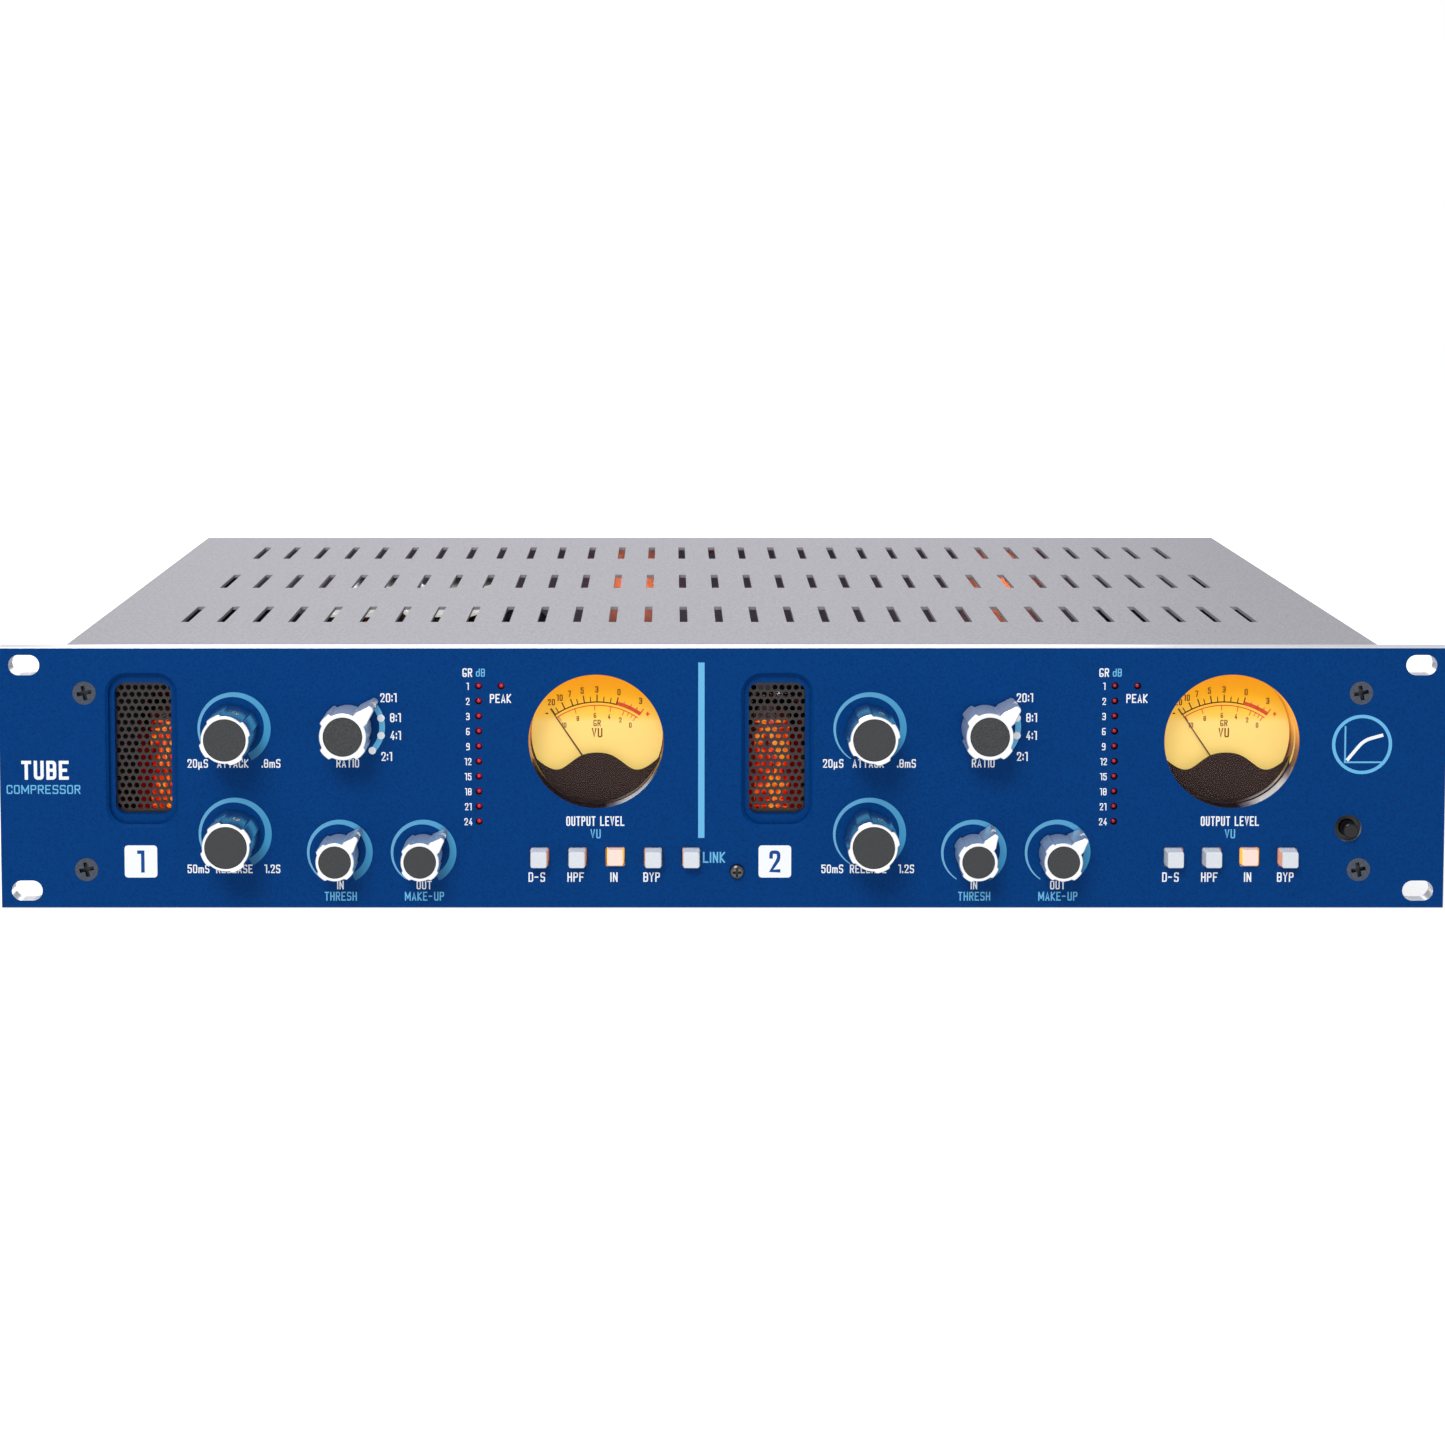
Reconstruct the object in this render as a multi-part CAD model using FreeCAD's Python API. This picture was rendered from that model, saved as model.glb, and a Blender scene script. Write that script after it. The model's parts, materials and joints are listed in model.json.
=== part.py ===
import FreeCAD, Part
import math
import os
from collections import namedtuple

# Two-channel valve compressor in a 19-inch, two-unit rack case. All sizes are in millimetres.
# X runs to the right as seen from the front, Y runs from the front to the back, and Z is up.
# The origin is the centre of the four rack slots, on the rear face of the front panel.

V = FreeCAD.Vector
ORIGIN = V(0, 0, 0)
ALONG_X = V(1, 0, 0)
ALONG_Y = V(0, 1, 0)
ALONG_Z = V(0, 0, 1)

# Fits: air left between pieces that aren't a running fit, and the play of a shaft in its bearing.
GAP = 0.3
RUNNING = 0.05

# Front panel: 19-inch standard, two units high, 3/16 inch plate.
PANEL_W = 482.6
PANEL_H = 88.1
PANEL_T = 4.76
PANEL_EDGE = 0.25
FRONT = -PANEL_T
RACK_X = 465.1 / 2
RACK_Z = 76.2 / 2
RACK_SLOT_L = 10.3
RACK_SLOT_W = 6.8

# Case: a tray with a bolted rear panel, and a cover whose lips hang outside the tray.
CASE_W = 444.0
CASE_TOP = 42.2
CASE_DEPTH = 238.0
COVER_T = 1.2
TRAY_T = 1.5
COVER_START = 0.6
LIP = 12.0
TRAY_X = CASE_W / 2 - COVER_T - GAP
TRAY_INNER_X = TRAY_X - TRAY_T
FLOOR = -CASE_TOP + TRAY_T
ROOF = CASE_TOP - COVER_T
REAR_OUT = CASE_DEPTH - COVER_T
REAR_IN = REAR_OUT - TRAY_T
TAB_W = 12.5
VENT_PITCH = 12.7
VENTS = 31
VENT_W = 2.8
VENT_L = 29.0
VENT_ROWS = 3
VENT_FIRST_Y = 62.3
VENT_ROW_PITCH = 67.3

# Two equal channels side by side. Places below are those of the first channel.
CHANNEL_PITCH = 211.9
CHANNELS = (0.0, CHANNEL_PITCH)
BOARD_Y = 14.0
BOARD_T = 1.6

# Valve windows: a shallow pocket around a through opening, with a perforated plate behind it.
WINDOW_X = -193.7
WINDOW_Z = 9.4
POCKET_W = 22.4
POCKET_H = 50.5
POCKET_R = 6.3
POCKET_D = 2.4
POCKET_EDGE = 0.9
WINDOW_W = 18.9
WINDOW_H = 44.6
WINDOW_R = 3.5
GRILLE_T = 0.8
GRILLE_MARGIN = 2.2
GRILLE_HOLE_R = 0.9
GRILLE_PITCH = 2.37
GRILLE_ROWS = 18
GRILLE_COLUMNS = 8

# Output level meters.
METER_X = -42.2
METER_Z = 12.4
METER_HOLE_R = 22.6
LENS_R = 22.3
LENS_Y = -0.8
LENS_T = 1.5
MASK_R = 22.2
MASK_Y = 2.2
MASK_T = 0.8
NEEDLE_Y = 4.2
NEEDLE_T = 0.5
NEEDLE_L = 28.0
NEEDLE_REST = 34.0
PIVOT_DROP = 14.4
STAFF_R = 0.8
DIAL_R = 22.2
DIAL_Y = 6.0
DIAL_T = 0.8
HOUSING_R = 24.5
HOUSING_DEPTH = 28.0
HOUSING_T = 1.5
COIL_HALF = 4.5
COIL_Y = 9.5
COIL_L = 9.0
MAGNET_R = 7.9
MAGNET_T = 1.1

# Gain reduction lamps in a column, and one peak lamp beside it.
LED_X = -81.3
LED_TOP_Z = 31.1
LED_PITCH = 5.08
LEDS = 10
PEAK_X = -73.8
LED_HOLE_R = 1.2
LED_R = 0.9
LED_HOLDER_R = 1.5
LED_TIP = FRONT + 0.35

# Push buttons under each meter, and the link button of the first channel.
BUTTON_PITCH = 12.7
BUTTON_Z = -26.6
LINK_DX = 31.75
BUTTON_W = 5.9
BUTTON_R = 0.7
BUTTON_OUT = 4.1
BUTTON_LATCH = 2.5
BUTTON_L = 9.9
BUTTON_TAPER = 0.3
BUTTON_TAPER_L = 3.2
STEM_W = 3.0
STEM_L = 6.5
SWITCH_W = 10.0
SWITCH_Y = 4.6

# Power button at the right end of the panel.
POWER_X = 208.9
POWER_Z = -16.9
POWER_HOLE_R = 4.5
POWER_R = 2.6
POWER_OUT = 3.5
POWER_BODY_W = 18.0
POWER_BODY_Y = 6.0
POWER_BODY_L = 22.0

# Rotary controls: spindle, threaded bushing and nut, hidden inside the hollow base of the knob.
SPINDLE_R = 3.0
SPINDLE_END = 8.0
BUSHING_R = 3.5
BUSHING_OUT = 3.9
BUSHING_HOLE_R = 3.75
NUT_FLATS = 8.4
NUT_T = 1.8
CONTROL_W = 17.0
RATIO_SWITCH_R = 11.5
KNOB_LIFT = 0.8
HOLLOW_R = 5.35
HOLLOW_END = FRONT - BUSHING_OUT - 0.54
CAP_POCKET = 1.2
CAP_GAP = 0.15
CAP_PROUD = 0.1
SPINDLE_COVER = 1.5
FLAT_R = 2.5
GRUB_R = 1.25
LOBES = 4
LOBE_SLOPE = 4.0
LOBE_ROUND = 0.6
KNOB_EDGE = 0.2
POINTER_ROOT_X = 4.0

# height is the front face above the panel; lobe_half is half a grip's width in degrees.
KnobSize = namedtuple("KnobSize", "body_r lobe_r lobe_half first_lobe cap_r height pointer_r pointer_w tip_w")
LARGE = KnobSize(7.85, 8.55, 16.0, 45.0, 6.85, 16.0, None, None, None)
POINTED = KnobSize(7.75, 8.75, 14.0, 0.0, 6.35, 13.3, 13.7, 5.1, 2.6)
SMALL = KnobSize(6.35, 7.0, 15.0, 0.0, 5.25, 11.6, 11.0, 4.4, 1.9)

# directions are where each channel's knob points at rest, in degrees anticlockwise from +X seen from the front.
Control = namedtuple("Control", "name size x z directions")
CONTROLS = (
    Control("attack", LARGE, -162.8, 16.8, (72.0, 67.0)),
    Control("release", LARGE, -162.8, -18.8, (74.0, 67.0)),
    Control("ratio", POINTED, -124.7, 17.2, (45.0, 45.0)),
    Control("threshold", SMALL, -127.9, -25.0, (48.0, 56.6)),
    Control("makeup", SMALL, -99.9, -25.0, (45.0, 44.5)),
)

# Screws.
PANEL_SCREW_X = 212.65
PANEL_SCREW_ZS = (28.7, -31.0)
PANEL_SCREW_HEAD_R = 3.9
PANEL_SCREW_TURN = 12.0
PANEL_SCREW_R = 1.95
COVER_SCREW_YS = (30.0, 119.0, 208.0)
COVER_SCREW_Z = 35.0
REAR_LIP_SCREW_XS = (-150.0, 0.0, 150.0)
REAR_LIP_SCREW_Z = 37.0
REAR_SCREW_X = 214.5
REAR_SCREW_Z = 26.0
CENTRE_SCREW_X = 4.8
CENTRE_SCREW_Z = -31.5
SMALL_SCREW_R = 1.25
SCREW_R = 1.45
SCREW_HOLE_R = 1.6
SCREW_HEAD_R = 2.5
SCREW_HEAD_T = 1.6
SCREW_L = 6.0

# Connectors on the rear panel.
XLR_INPUT_XS = (-190.0, -118.0)
XLR_OUTPUT_XS = (-154.0, -82.0)
XLR_FLANGE_W = 26.0
XLR_FLANGE_H = 31.0
FLANGE_T = 2.0
XLR_BODY_R = 11.8
XLR_BODY_L = 24.0
XLR_CUP_R = 9.4
XLR_CUP_D = 16.5
XLR_GROOVE_R = 7.6
XLR_PIN_CIRCLE = 4.3
XLR_PIN_ANGLES = (35.0, 145.0, 270.0)
XLR_PIN_R = 1.2
PIN_RECESS = 5.7
XLR_SCREW_DX = 9.5
XLR_SCREW_DZ = 12.0
LATCH_W = 7.8
LATCH_Z0 = 11.4
LATCH_Z1 = 14.3
LATCH_OUT = 2.5
LATCH_L = 11.0
LATCH_TRAVEL = 2.5
MAINS_X = 178.0
MAINS_FLANGE_W = 50.0
MAINS_FLANGE_H = 28.0
MAINS_BODY_W = 27.4
MAINS_BODY_H = 20.0
MAINS_BODY_L = 22.0
MAINS_CUP_W = 24.2
MAINS_CUP_H = 16.6
MAINS_CUP_D = 17.0
MAINS_CORNER = 4.0
MAINS_SCREW_DX = 20.0
CONNECTOR_FACE = REAR_OUT + FLANGE_T

# Main board and what stands on it.
MAIN_BOARD_Z = -36.0
MAIN_BOARD_X0 = -214.0
MAIN_BOARD_X1 = 128.0
MAIN_BOARD_Y0 = 20.0
MAIN_BOARD_Y1 = 205.0
BOARD_TOP = MAIN_BOARD_Z + BOARD_T
STANDOFF_FLATS = 5.5
STANDOFF_INSET = 7.0
TUBE_R = 10.5
TUBE_WALL = 1.0
TUBE_H = 49.0
TUBE_SHOULDER = 42.0
TUBE_FRONT_Y = 35.0
TUBE_BACK_Y = 120.0
TUBE_BACK_XS = (-25.0, 115.0)
SOCKET_R = 11.5
SOCKET_H = 7.0
CAN_XS = (-143.0, -105.0)
CAN_YS = (118.0, 172.0)
CAN_R = 16.5
CAN_TOP = 34.0
CAPACITOR_R = 11.0
CAPACITOR_H = 46.0
CAPACITOR_Y = 176.0
CAPACITOR_X0 = -48.0
CAPACITOR_PITCH = 28.0
CAPACITORS = 6
TOROID_X = 172.0
TOROID_Y = 171.0
TOROID_R = 40.0
TOROID_HOLE_R = 11.0
TOROID_H = 38.0
TOROID_ROUND = 8.0


def box(x0, x1, y0, y1, z0, z1):
    """A block between two opposite corners."""
    return Part.makeBox(x1 - x0, y1 - y0, z1 - z0, V(x0, y0, z0))


def rod(x, z, radius, y0, y1):
    """A round bar along Y."""
    return Part.makeCylinder(radius, y1 - y0, V(x, y0, z), ALONG_Y)


def post(x, y, radius, z0, z1):
    """A round bar along Z."""
    return Part.makeCylinder(radius, z1 - z0, V(x, y, z0), ALONG_Z)


def slab(x, z, width, height, corner, y0, y1):
    """A block centred on x and z, with its four edges along Y rounded."""
    block = box(x - width / 2, x + width / 2, y0, y1, z - height / 2, z + height / 2)
    along = [edge for edge in block.Edges if edge.BoundBox.YLength > 0.9 * (y1 - y0)]
    return block.makeFillet(corner, along)


def hexagon(x, z, flats, y0, y1):
    """A hexagonal bar along Y."""
    corner_r = flats / math.sqrt(3)
    corners = [V(x, y0, z) + polar(corner_r, 60 * k) for k in range(7)]
    return Part.Face(Part.makePolygon(corners)).extrude(V(0, y1 - y0, 0))


def polar(radius, degrees):
    """A point in the plane of the panel, anticlockwise from +X as seen from the front."""
    angle = math.radians(degrees)
    return V(radius * math.cos(angle), 0, radius * math.sin(angle))


def fuse(shapes):
    """One solid from shapes that overlap or share faces."""
    return shapes[0].multiFuse(shapes[1:]).removeSplitter()


def turned_to(shape, direction, x, z):
    """A shape made about the Y axis and pointing along +X, turned to its rest direction and set in place."""
    shape.rotate(ORIGIN, ALONG_Y, -direction)
    shape.translate(V(x, 0, z))
    return shape


def save(name, shapes):
    """Writes one named piece, or a group of alike pieces, as separate solids."""
    solids = [solid for shape in shapes for solid in shape.Solids]
    Part.makeCompound(solids).exportStep("parts/%s.step" % name)


def button_places():
    """(name, x, latched) of each push button, from left to right."""
    names = ("de_esser", "low_cut", "in", "bypass")
    places = []
    for number, dx in enumerate(CHANNELS, start=1):
        for place, name in enumerate(names):
            x = METER_X + dx + (place - 1.5) * BUTTON_PITCH
            places.append(("%s_button_%d" % (name, number), x, name == "in"))
    places.append(("link_button", METER_X + LINK_DX, False))
    return places


def led_places():
    """Centre of each lamp, in both channels."""
    places = []
    for dx in CHANNELS:
        places += [(LED_X + dx, LED_TOP_Z - LED_PITCH * k) for k in range(LEDS)]
        places.append((PEAK_X + dx, LED_TOP_Z))
    return places


def control_places():
    """(control, channel number, x, direction) of each rotary control."""
    return [
        (control, number + 1, control.x + dx, control.directions[number])
        for number, dx in enumerate(CHANNELS)
        for control in CONTROLS
    ]


def front_panel():
    """The machined plate, with a cut for everything that comes through it."""
    plate = box(-PANEL_W / 2, PANEL_W / 2, FRONT, 0, -PANEL_H / 2, PANEL_H / 2)
    rim = [edge for edge in plate.Edges if edge.BoundBox.YMax < FRONT + 0.01]
    plate = plate.makeChamfer(PANEL_EDGE, rim)
    cuts = []
    y0 = FRONT - 1
    for x in (-RACK_X, RACK_X):
        for z in (-RACK_Z, RACK_Z):
            cuts.append(slab(x, z, RACK_SLOT_L, RACK_SLOT_W, RACK_SLOT_W / 2 - 0.001, y0, 1))
    for x in (-PANEL_SCREW_X, PANEL_SCREW_X):
        for z in PANEL_SCREW_ZS:
            cuts.append(rod(x, z, PANEL_SCREW_R + 0.2, y0, 1))
            sink = Part.makeCone(PANEL_SCREW_HEAD_R + 0.15, 0.5, PANEL_SCREW_HEAD_R - 0.35, V(x, FRONT, z), ALONG_Y)
            cuts.append(sink)
    for control, number, x, direction in control_places():
        cuts.append(rod(x, control.z, BUSHING_HOLE_R, y0, 1))
    for dx in CHANNELS:
        cuts.append(rod(METER_X + dx, METER_Z, METER_HOLE_R, y0, 1))
        pocket = slab(WINDOW_X + dx, WINDOW_Z, POCKET_W, POCKET_H, POCKET_R, y0, FRONT + POCKET_D)
        cuts.append(pocket)
        cuts.append(slab(WINDOW_X + dx, WINDOW_Z, WINDOW_W, WINDOW_H, WINDOW_R, y0, 1))
    for x, z in led_places():
        cuts.append(rod(x, z, LED_HOLE_R, y0, 1))
    hole = BUTTON_W + 2 * GAP
    for name, x, latched in button_places():
        cuts.append(slab(x, BUTTON_Z, hole, hole, BUTTON_R, y0, 1))
    cuts.append(rod(POWER_X, POWER_Z, POWER_HOLE_R, y0, 1))
    cuts.append(rod(CENTRE_SCREW_X, CENTRE_SCREW_Z, SMALL_SCREW_R + 0.15, y0, 1))
    return with_bevelled_pockets(plate.cut(cuts))


def with_bevelled_pockets(plate):
    """The plate with a wide bevel round each valve window's pocket."""
    rims = []
    for dx in CHANNELS:
        for edge in plate.Edges:
            bounds = edge.BoundBox
            near_x = abs(bounds.Center.x - WINDOW_X - dx) < POCKET_W / 2 + 0.1
            near_z = abs(bounds.Center.z - WINDOW_Z) < POCKET_H / 2 + 0.1
            if near_x and near_z and bounds.YMax < FRONT + 0.01:
                rims.append(edge)
    return plate.makeChamfer(POCKET_EDGE, rims)


def chassis_tray():
    """Folded tray: floor, two sides, tabs for the front panel's screws and flanges for the rear panel."""
    pieces = [box(-TRAY_X, TRAY_X, 0, REAR_OUT, -CASE_TOP, FLOOR)]
    cuts = []
    for side in (-1, 1):
        outer = side * TRAY_X
        inner = side * TRAY_INNER_X
        tab = side * (TRAY_INNER_X - TAB_W)
        low, high = sorted((outer, inner))
        pieces.append(box(low, high, 0, REAR_IN, FLOOR, ROOF))
        low, high = sorted((inner, tab))
        pieces.append(box(low, high, 0, TRAY_T, FLOOR, -25.5))
        pieces.append(box(low, high, 0, TRAY_T, 19.0, ROOF))
        pieces.append(box(low, high, REAR_IN - TRAY_T, REAR_IN, FLOOR, ROOF - LIP))
        for z in PANEL_SCREW_ZS:
            pieces.append(rod(side * PANEL_SCREW_X, z, 3.6, TRAY_T, TRAY_T + 2))
            cuts.append(rod(side * PANEL_SCREW_X, z, PANEL_SCREW_R + 0.1, -1, TRAY_T + 3))
        for z in (-REAR_SCREW_Z, REAR_SCREW_Z):
            cuts.append(rod(side * REAR_SCREW_X, z, SCREW_HOLE_R, REAR_IN - 4, REAR_OUT))
        for y in COVER_SCREW_YS:
            cuts.append(side_hole(side, y))
    return fuse(pieces).cut(cuts)


def side_hole(side, y):
    """Hole for a cover screw, through the lip and the tray's side."""
    start = V(side * (TRAY_INNER_X - 2), y, COVER_SCREW_Z)
    return Part.makeCylinder(SCREW_HOLE_R, 10, start, V(side, 0, 0))


def top_cover():
    """Folded cover with three rows of vents."""
    half = CASE_W / 2
    pieces = [
        box(-half, half, COVER_START, CASE_DEPTH, ROOF, CASE_TOP),
        box(-half, COVER_T - half, COVER_START, CASE_DEPTH, CASE_TOP - LIP, ROOF),
        box(half - COVER_T, half, COVER_START, CASE_DEPTH, CASE_TOP - LIP, ROOF),
        box(COVER_T - half, half - COVER_T, REAR_OUT, CASE_DEPTH, CASE_TOP - LIP, ROOF),
    ]
    cuts = []
    first_x = -VENT_PITCH * (VENTS - 1) / 2
    for row in range(VENT_ROWS):
        y = VENT_FIRST_Y + VENT_ROW_PITCH * row
        for k in range(VENTS):
            x = first_x + VENT_PITCH * k
            cuts.append(box(x - VENT_W / 2, x + VENT_W / 2, y - VENT_L / 2, y + VENT_L / 2, ROOF - 1, CASE_TOP + 1))
    for side in (-1, 1):
        cuts += [side_hole(side, y) for y in COVER_SCREW_YS]
    for x in REAR_LIP_SCREW_XS:
        cuts.append(rod(x, REAR_LIP_SCREW_Z, SCREW_HOLE_R, REAR_OUT - 1, CASE_DEPTH + 1))
    return fuse(pieces).cut(cuts)


def rear_panel():
    """Flat plate with the cut-outs for the connectors."""
    plate = box(-TRAY_X, TRAY_X, REAR_IN, REAR_OUT, FLOOR, ROOF)
    y0 = REAR_IN - 1
    y1 = REAR_OUT + 1
    cuts = []
    for x in XLR_INPUT_XS + XLR_OUTPUT_XS:
        cuts.append(rod(x, 0, XLR_BODY_R + GAP, y0, y1))
        cuts += [rod(x + dx, z, SCREW_HOLE_R, y0, y1) for dx, z in xlr_screws()]
    for x in XLR_INPUT_XS:
        cuts.append(box(x - 5.2, x + 5.2, y0, y1, 0, LATCH_Z1 + 1))
    cuts.append(slab(MAINS_X, 0, MAINS_BODY_W + 0.6, MAINS_BODY_H + 0.6, 1.0, y0, y1))
    cuts += [rod(MAINS_X + dx, 0, SCREW_HOLE_R, y0, y1) for dx in (-MAINS_SCREW_DX, MAINS_SCREW_DX)]
    for x in (-REAR_SCREW_X, REAR_SCREW_X):
        cuts += [rod(x, z, SCREW_HOLE_R, y0, y1) for z in (-REAR_SCREW_Z, REAR_SCREW_Z)]
    cuts += [rod(x, REAR_LIP_SCREW_Z, SCREW_HOLE_R, y0, y1) for x in REAR_LIP_SCREW_XS]
    return plate.cut(cuts)


def window_grille(dx):
    """Perforated plate with staggered round holes, behind a valve window."""
    x = WINDOW_X + dx
    plate = slab(x, WINDOW_Z, WINDOW_W + 2 * GRILLE_MARGIN, WINDOW_H + 2 * GRILLE_MARGIN, 1.0, 0, GRILLE_T)
    holes = []
    for row in range(GRILLE_ROWS):
        z = WINDOW_Z + (row - (GRILLE_ROWS - 1) / 2) * GRILLE_PITCH
        shift = 0.25 if row % 2 else -0.25
        for column in range(GRILLE_COLUMNS):
            hole_x = x + (column - (GRILLE_COLUMNS - 1) / 2 + shift) * GRILLE_PITCH
            holes.append(rod(hole_x, z, GRILLE_HOLE_R, -1, GRILLE_T + 1))
    return plate.cut(holes)


def meter_housing(dx):
    """The meter's cup with its two terminal studs, and the ring magnet of the movement inside."""
    x = METER_X + dx
    pivot_z = METER_Z - PIVOT_DROP
    cup = rod(x, METER_Z, HOUSING_R, 0, HOUSING_DEPTH)
    cup = cup.cut(rod(x, METER_Z, METER_HOLE_R, -1, HOUSING_DEPTH - HOUSING_T))
    studs = [rod(x + stud, METER_Z, 1.5, HOUSING_DEPTH - 0.5, HOUSING_DEPTH + 7) for stud in (-9.0, 9.0)]
    magnet = rod(x, pivot_z, MAGNET_R, COIL_Y, HOUSING_DEPTH - HOUSING_T)
    magnet = magnet.cut(rod(x, pivot_z, MAGNET_R - MAGNET_T, COIL_Y - 1, HOUSING_DEPTH))
    return fuse([cup] + studs + [magnet])


def meter_dial(dx):
    """Flat scale plate, with a hole for the movement's staff."""
    x = METER_X + dx
    plate = rod(x, METER_Z, DIAL_R, DIAL_Y, DIAL_Y + DIAL_T)
    return plate.cut(rod(x, METER_Z - PIVOT_DROP, STAFF_R + 0.6, DIAL_Y - 1, DIAL_Y + 2))


def meter_mask(dx):
    """Dark plate that hides the movement, its top edge a wave with a hump over the pivot."""
    crest = -5.7
    end_x = 21.1
    end_z = -math.sqrt(MASK_R**2 - end_x**2)
    right = [V(4.8, 0, -6.5), V(9.1, 0, -9.3), V(13.1, 0, -11.5), V(17.3, 0, -10.2), V(end_x, 0, end_z)]
    left = [V(-p.x, 0, p.z) for p in reversed(right)]
    wave = Part.BSplineCurve()
    wave.interpolate(left + [V(0, 0, crest)] + right)
    rim = Part.Arc(right[-1], V(0, 0, -MASK_R), left[0])
    outline = Part.Wire([wave.toShape(), rim.toShape()])
    mask = Part.Face(outline).extrude(V(0, MASK_T, 0))
    mask.translate(V(METER_X + dx, MASK_Y, METER_Z))
    return mask


def meter_needle(dx):
    """Pointer, hub, balance tail, staff and moving coil in one piece, turned to the left end of the scale."""
    tip = 0.15
    root = 0.32
    tail = 6.5
    outline = [V(-tail, 0, -root), V(NEEDLE_L, 0, -tip), V(NEEDLE_L, 0, tip), V(-tail, 0, root), V(-tail, 0, -root)]
    pointer = Part.Face(Part.makePolygon(outline)).extrude(V(0, NEEDLE_T, 0))
    pointer.translate(V(0, NEEDLE_Y, 0))
    weight = rod(-tail, 0, 1.5, NEEDLE_Y - 0.2, NEEDLE_Y + 0.8)
    hub = rod(0, 0, 2.4, NEEDLE_Y - 0.2, NEEDLE_Y + 1.0)
    staff = rod(0, 0, STAFF_R, NEEDLE_Y, COIL_Y + COIL_L + 2)
    coil = box(-COIL_HALF, COIL_HALF, COIL_Y, COIL_Y + COIL_L, -COIL_HALF, COIL_HALF)
    window = COIL_HALF - 1.2
    coil = coil.cut(box(-window, window, COIL_Y + 1.2, COIL_Y + COIL_L - 1.2, -COIL_HALF, COIL_HALF))
    needle = fuse([pointer, weight, hub, staff, coil])
    return turned_to(needle, 90 + NEEDLE_REST, METER_X + dx, METER_Z - PIVOT_DROP)


def led(x, z):
    """A lamp with a domed tip, on a spacer that reaches the control board."""
    dome = Part.makeSphere(LED_R, V(x, LED_TIP + LED_R, z))
    stem = rod(x, z, LED_R, LED_TIP + LED_R, 0.5)
    holder = rod(x, z, LED_HOLDER_R, 0.2, BOARD_Y)
    return fuse([dome, stem, holder])


def control_board(dx, strip_end):
    """Upright board behind one channel's controls, with a strip under the meter for the buttons."""
    y1 = BOARD_Y + BOARD_T
    tall = box(-175.0 + dx, -68.5 + dx, BOARD_Y, y1, -33.8, 36.0)
    strip = box(-68.5 + dx, strip_end, BOARD_Y, y1, -33.8, -14.5)
    return fuse([tall, strip])


def rotary_control(control, x):
    """Potentiometer, or the round step switch of the ratio control, with its bushing and bore."""
    if control.size is POINTED:
        body = rod(x, control.z, RATIO_SWITCH_R, 0, BOARD_Y)
    else:
        body = slab(x, control.z, CONTROL_W, CONTROL_W, 1.5, 0, BOARD_Y)
    bushing = rod(x, control.z, BUSHING_R, FRONT - BUSHING_OUT, 0.5)
    bore = rod(x, control.z, SPINDLE_R + RUNNING, FRONT - BUSHING_OUT - 1, SPINDLE_END + 0.5)
    return fuse([body, bushing]).cut(bore)


def control_nut(control, x):
    """Hexagonal nut that clamps a control to the panel."""
    nut = hexagon(x, control.z, NUT_FLATS, FRONT - NUT_T, FRONT)
    return nut.cut(rod(x, control.z, BUSHING_R + RUNNING, FRONT - 3, FRONT + 1))


def arc(radius, start, end):
    """Part of a circle about the Y axis."""
    middle = (start + end) / 2
    return Part.Arc(polar(radius, start), polar(radius, middle), polar(radius, end)).toShape()


def lobed_outline(size):
    """Round outline with four raised grips."""
    edges = []
    pitch = 360.0 / LOBES
    for k in range(LOBES):
        start = size.first_lobe + pitch * k - size.lobe_half
        end = start + 2 * size.lobe_half
        low = end + LOBE_SLOPE
        rise = start + pitch - LOBE_SLOPE
        edges.append(arc(size.lobe_r, start, end))
        edges.append(Part.LineSegment(polar(size.lobe_r, end), polar(size.body_r, low)).toShape())
        edges.append(arc(size.body_r, low, rise))
        edges.append(Part.LineSegment(polar(size.body_r, rise), polar(size.lobe_r, start + pitch)).toShape())
    return Part.Wire(edges)


def pointer_outline(size):
    """Tapered pointer with a round tip, along +X."""
    root = size.pointer_w / 2
    tip = size.tip_w / 2
    shoulder = size.pointer_r - tip
    lower = [V(shoulder, 0, -tip), V(size.lobe_r, 0, -root), V(POINTER_ROOT_X, 0, -root)]
    upper = [V(p.x, 0, -p.z) for p in lower]
    path = lower + list(reversed(upper))
    edges = [Part.LineSegment(a, b).toShape() for a, b in zip(path, path[1:])]
    edges.append(Part.Arc(upper[0], V(size.pointer_r, 0, 0), lower[0]).toShape())
    return Part.Wire(edges)


def grub_y(size):
    """Where the grub screw sits along Y: the middle of the knob's solid hub."""
    return (FRONT - size.height + SPINDLE_COVER + CAP_POCKET + HOLLOW_END) / 2


def under_pointer(edge, size):
    """True for a corner of the grip that the pointer covers."""
    spot = edge.CenterOfMass
    return size.pointer_r is not None and spot.x > 0 and abs(spot.z) < size.pointer_w


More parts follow.
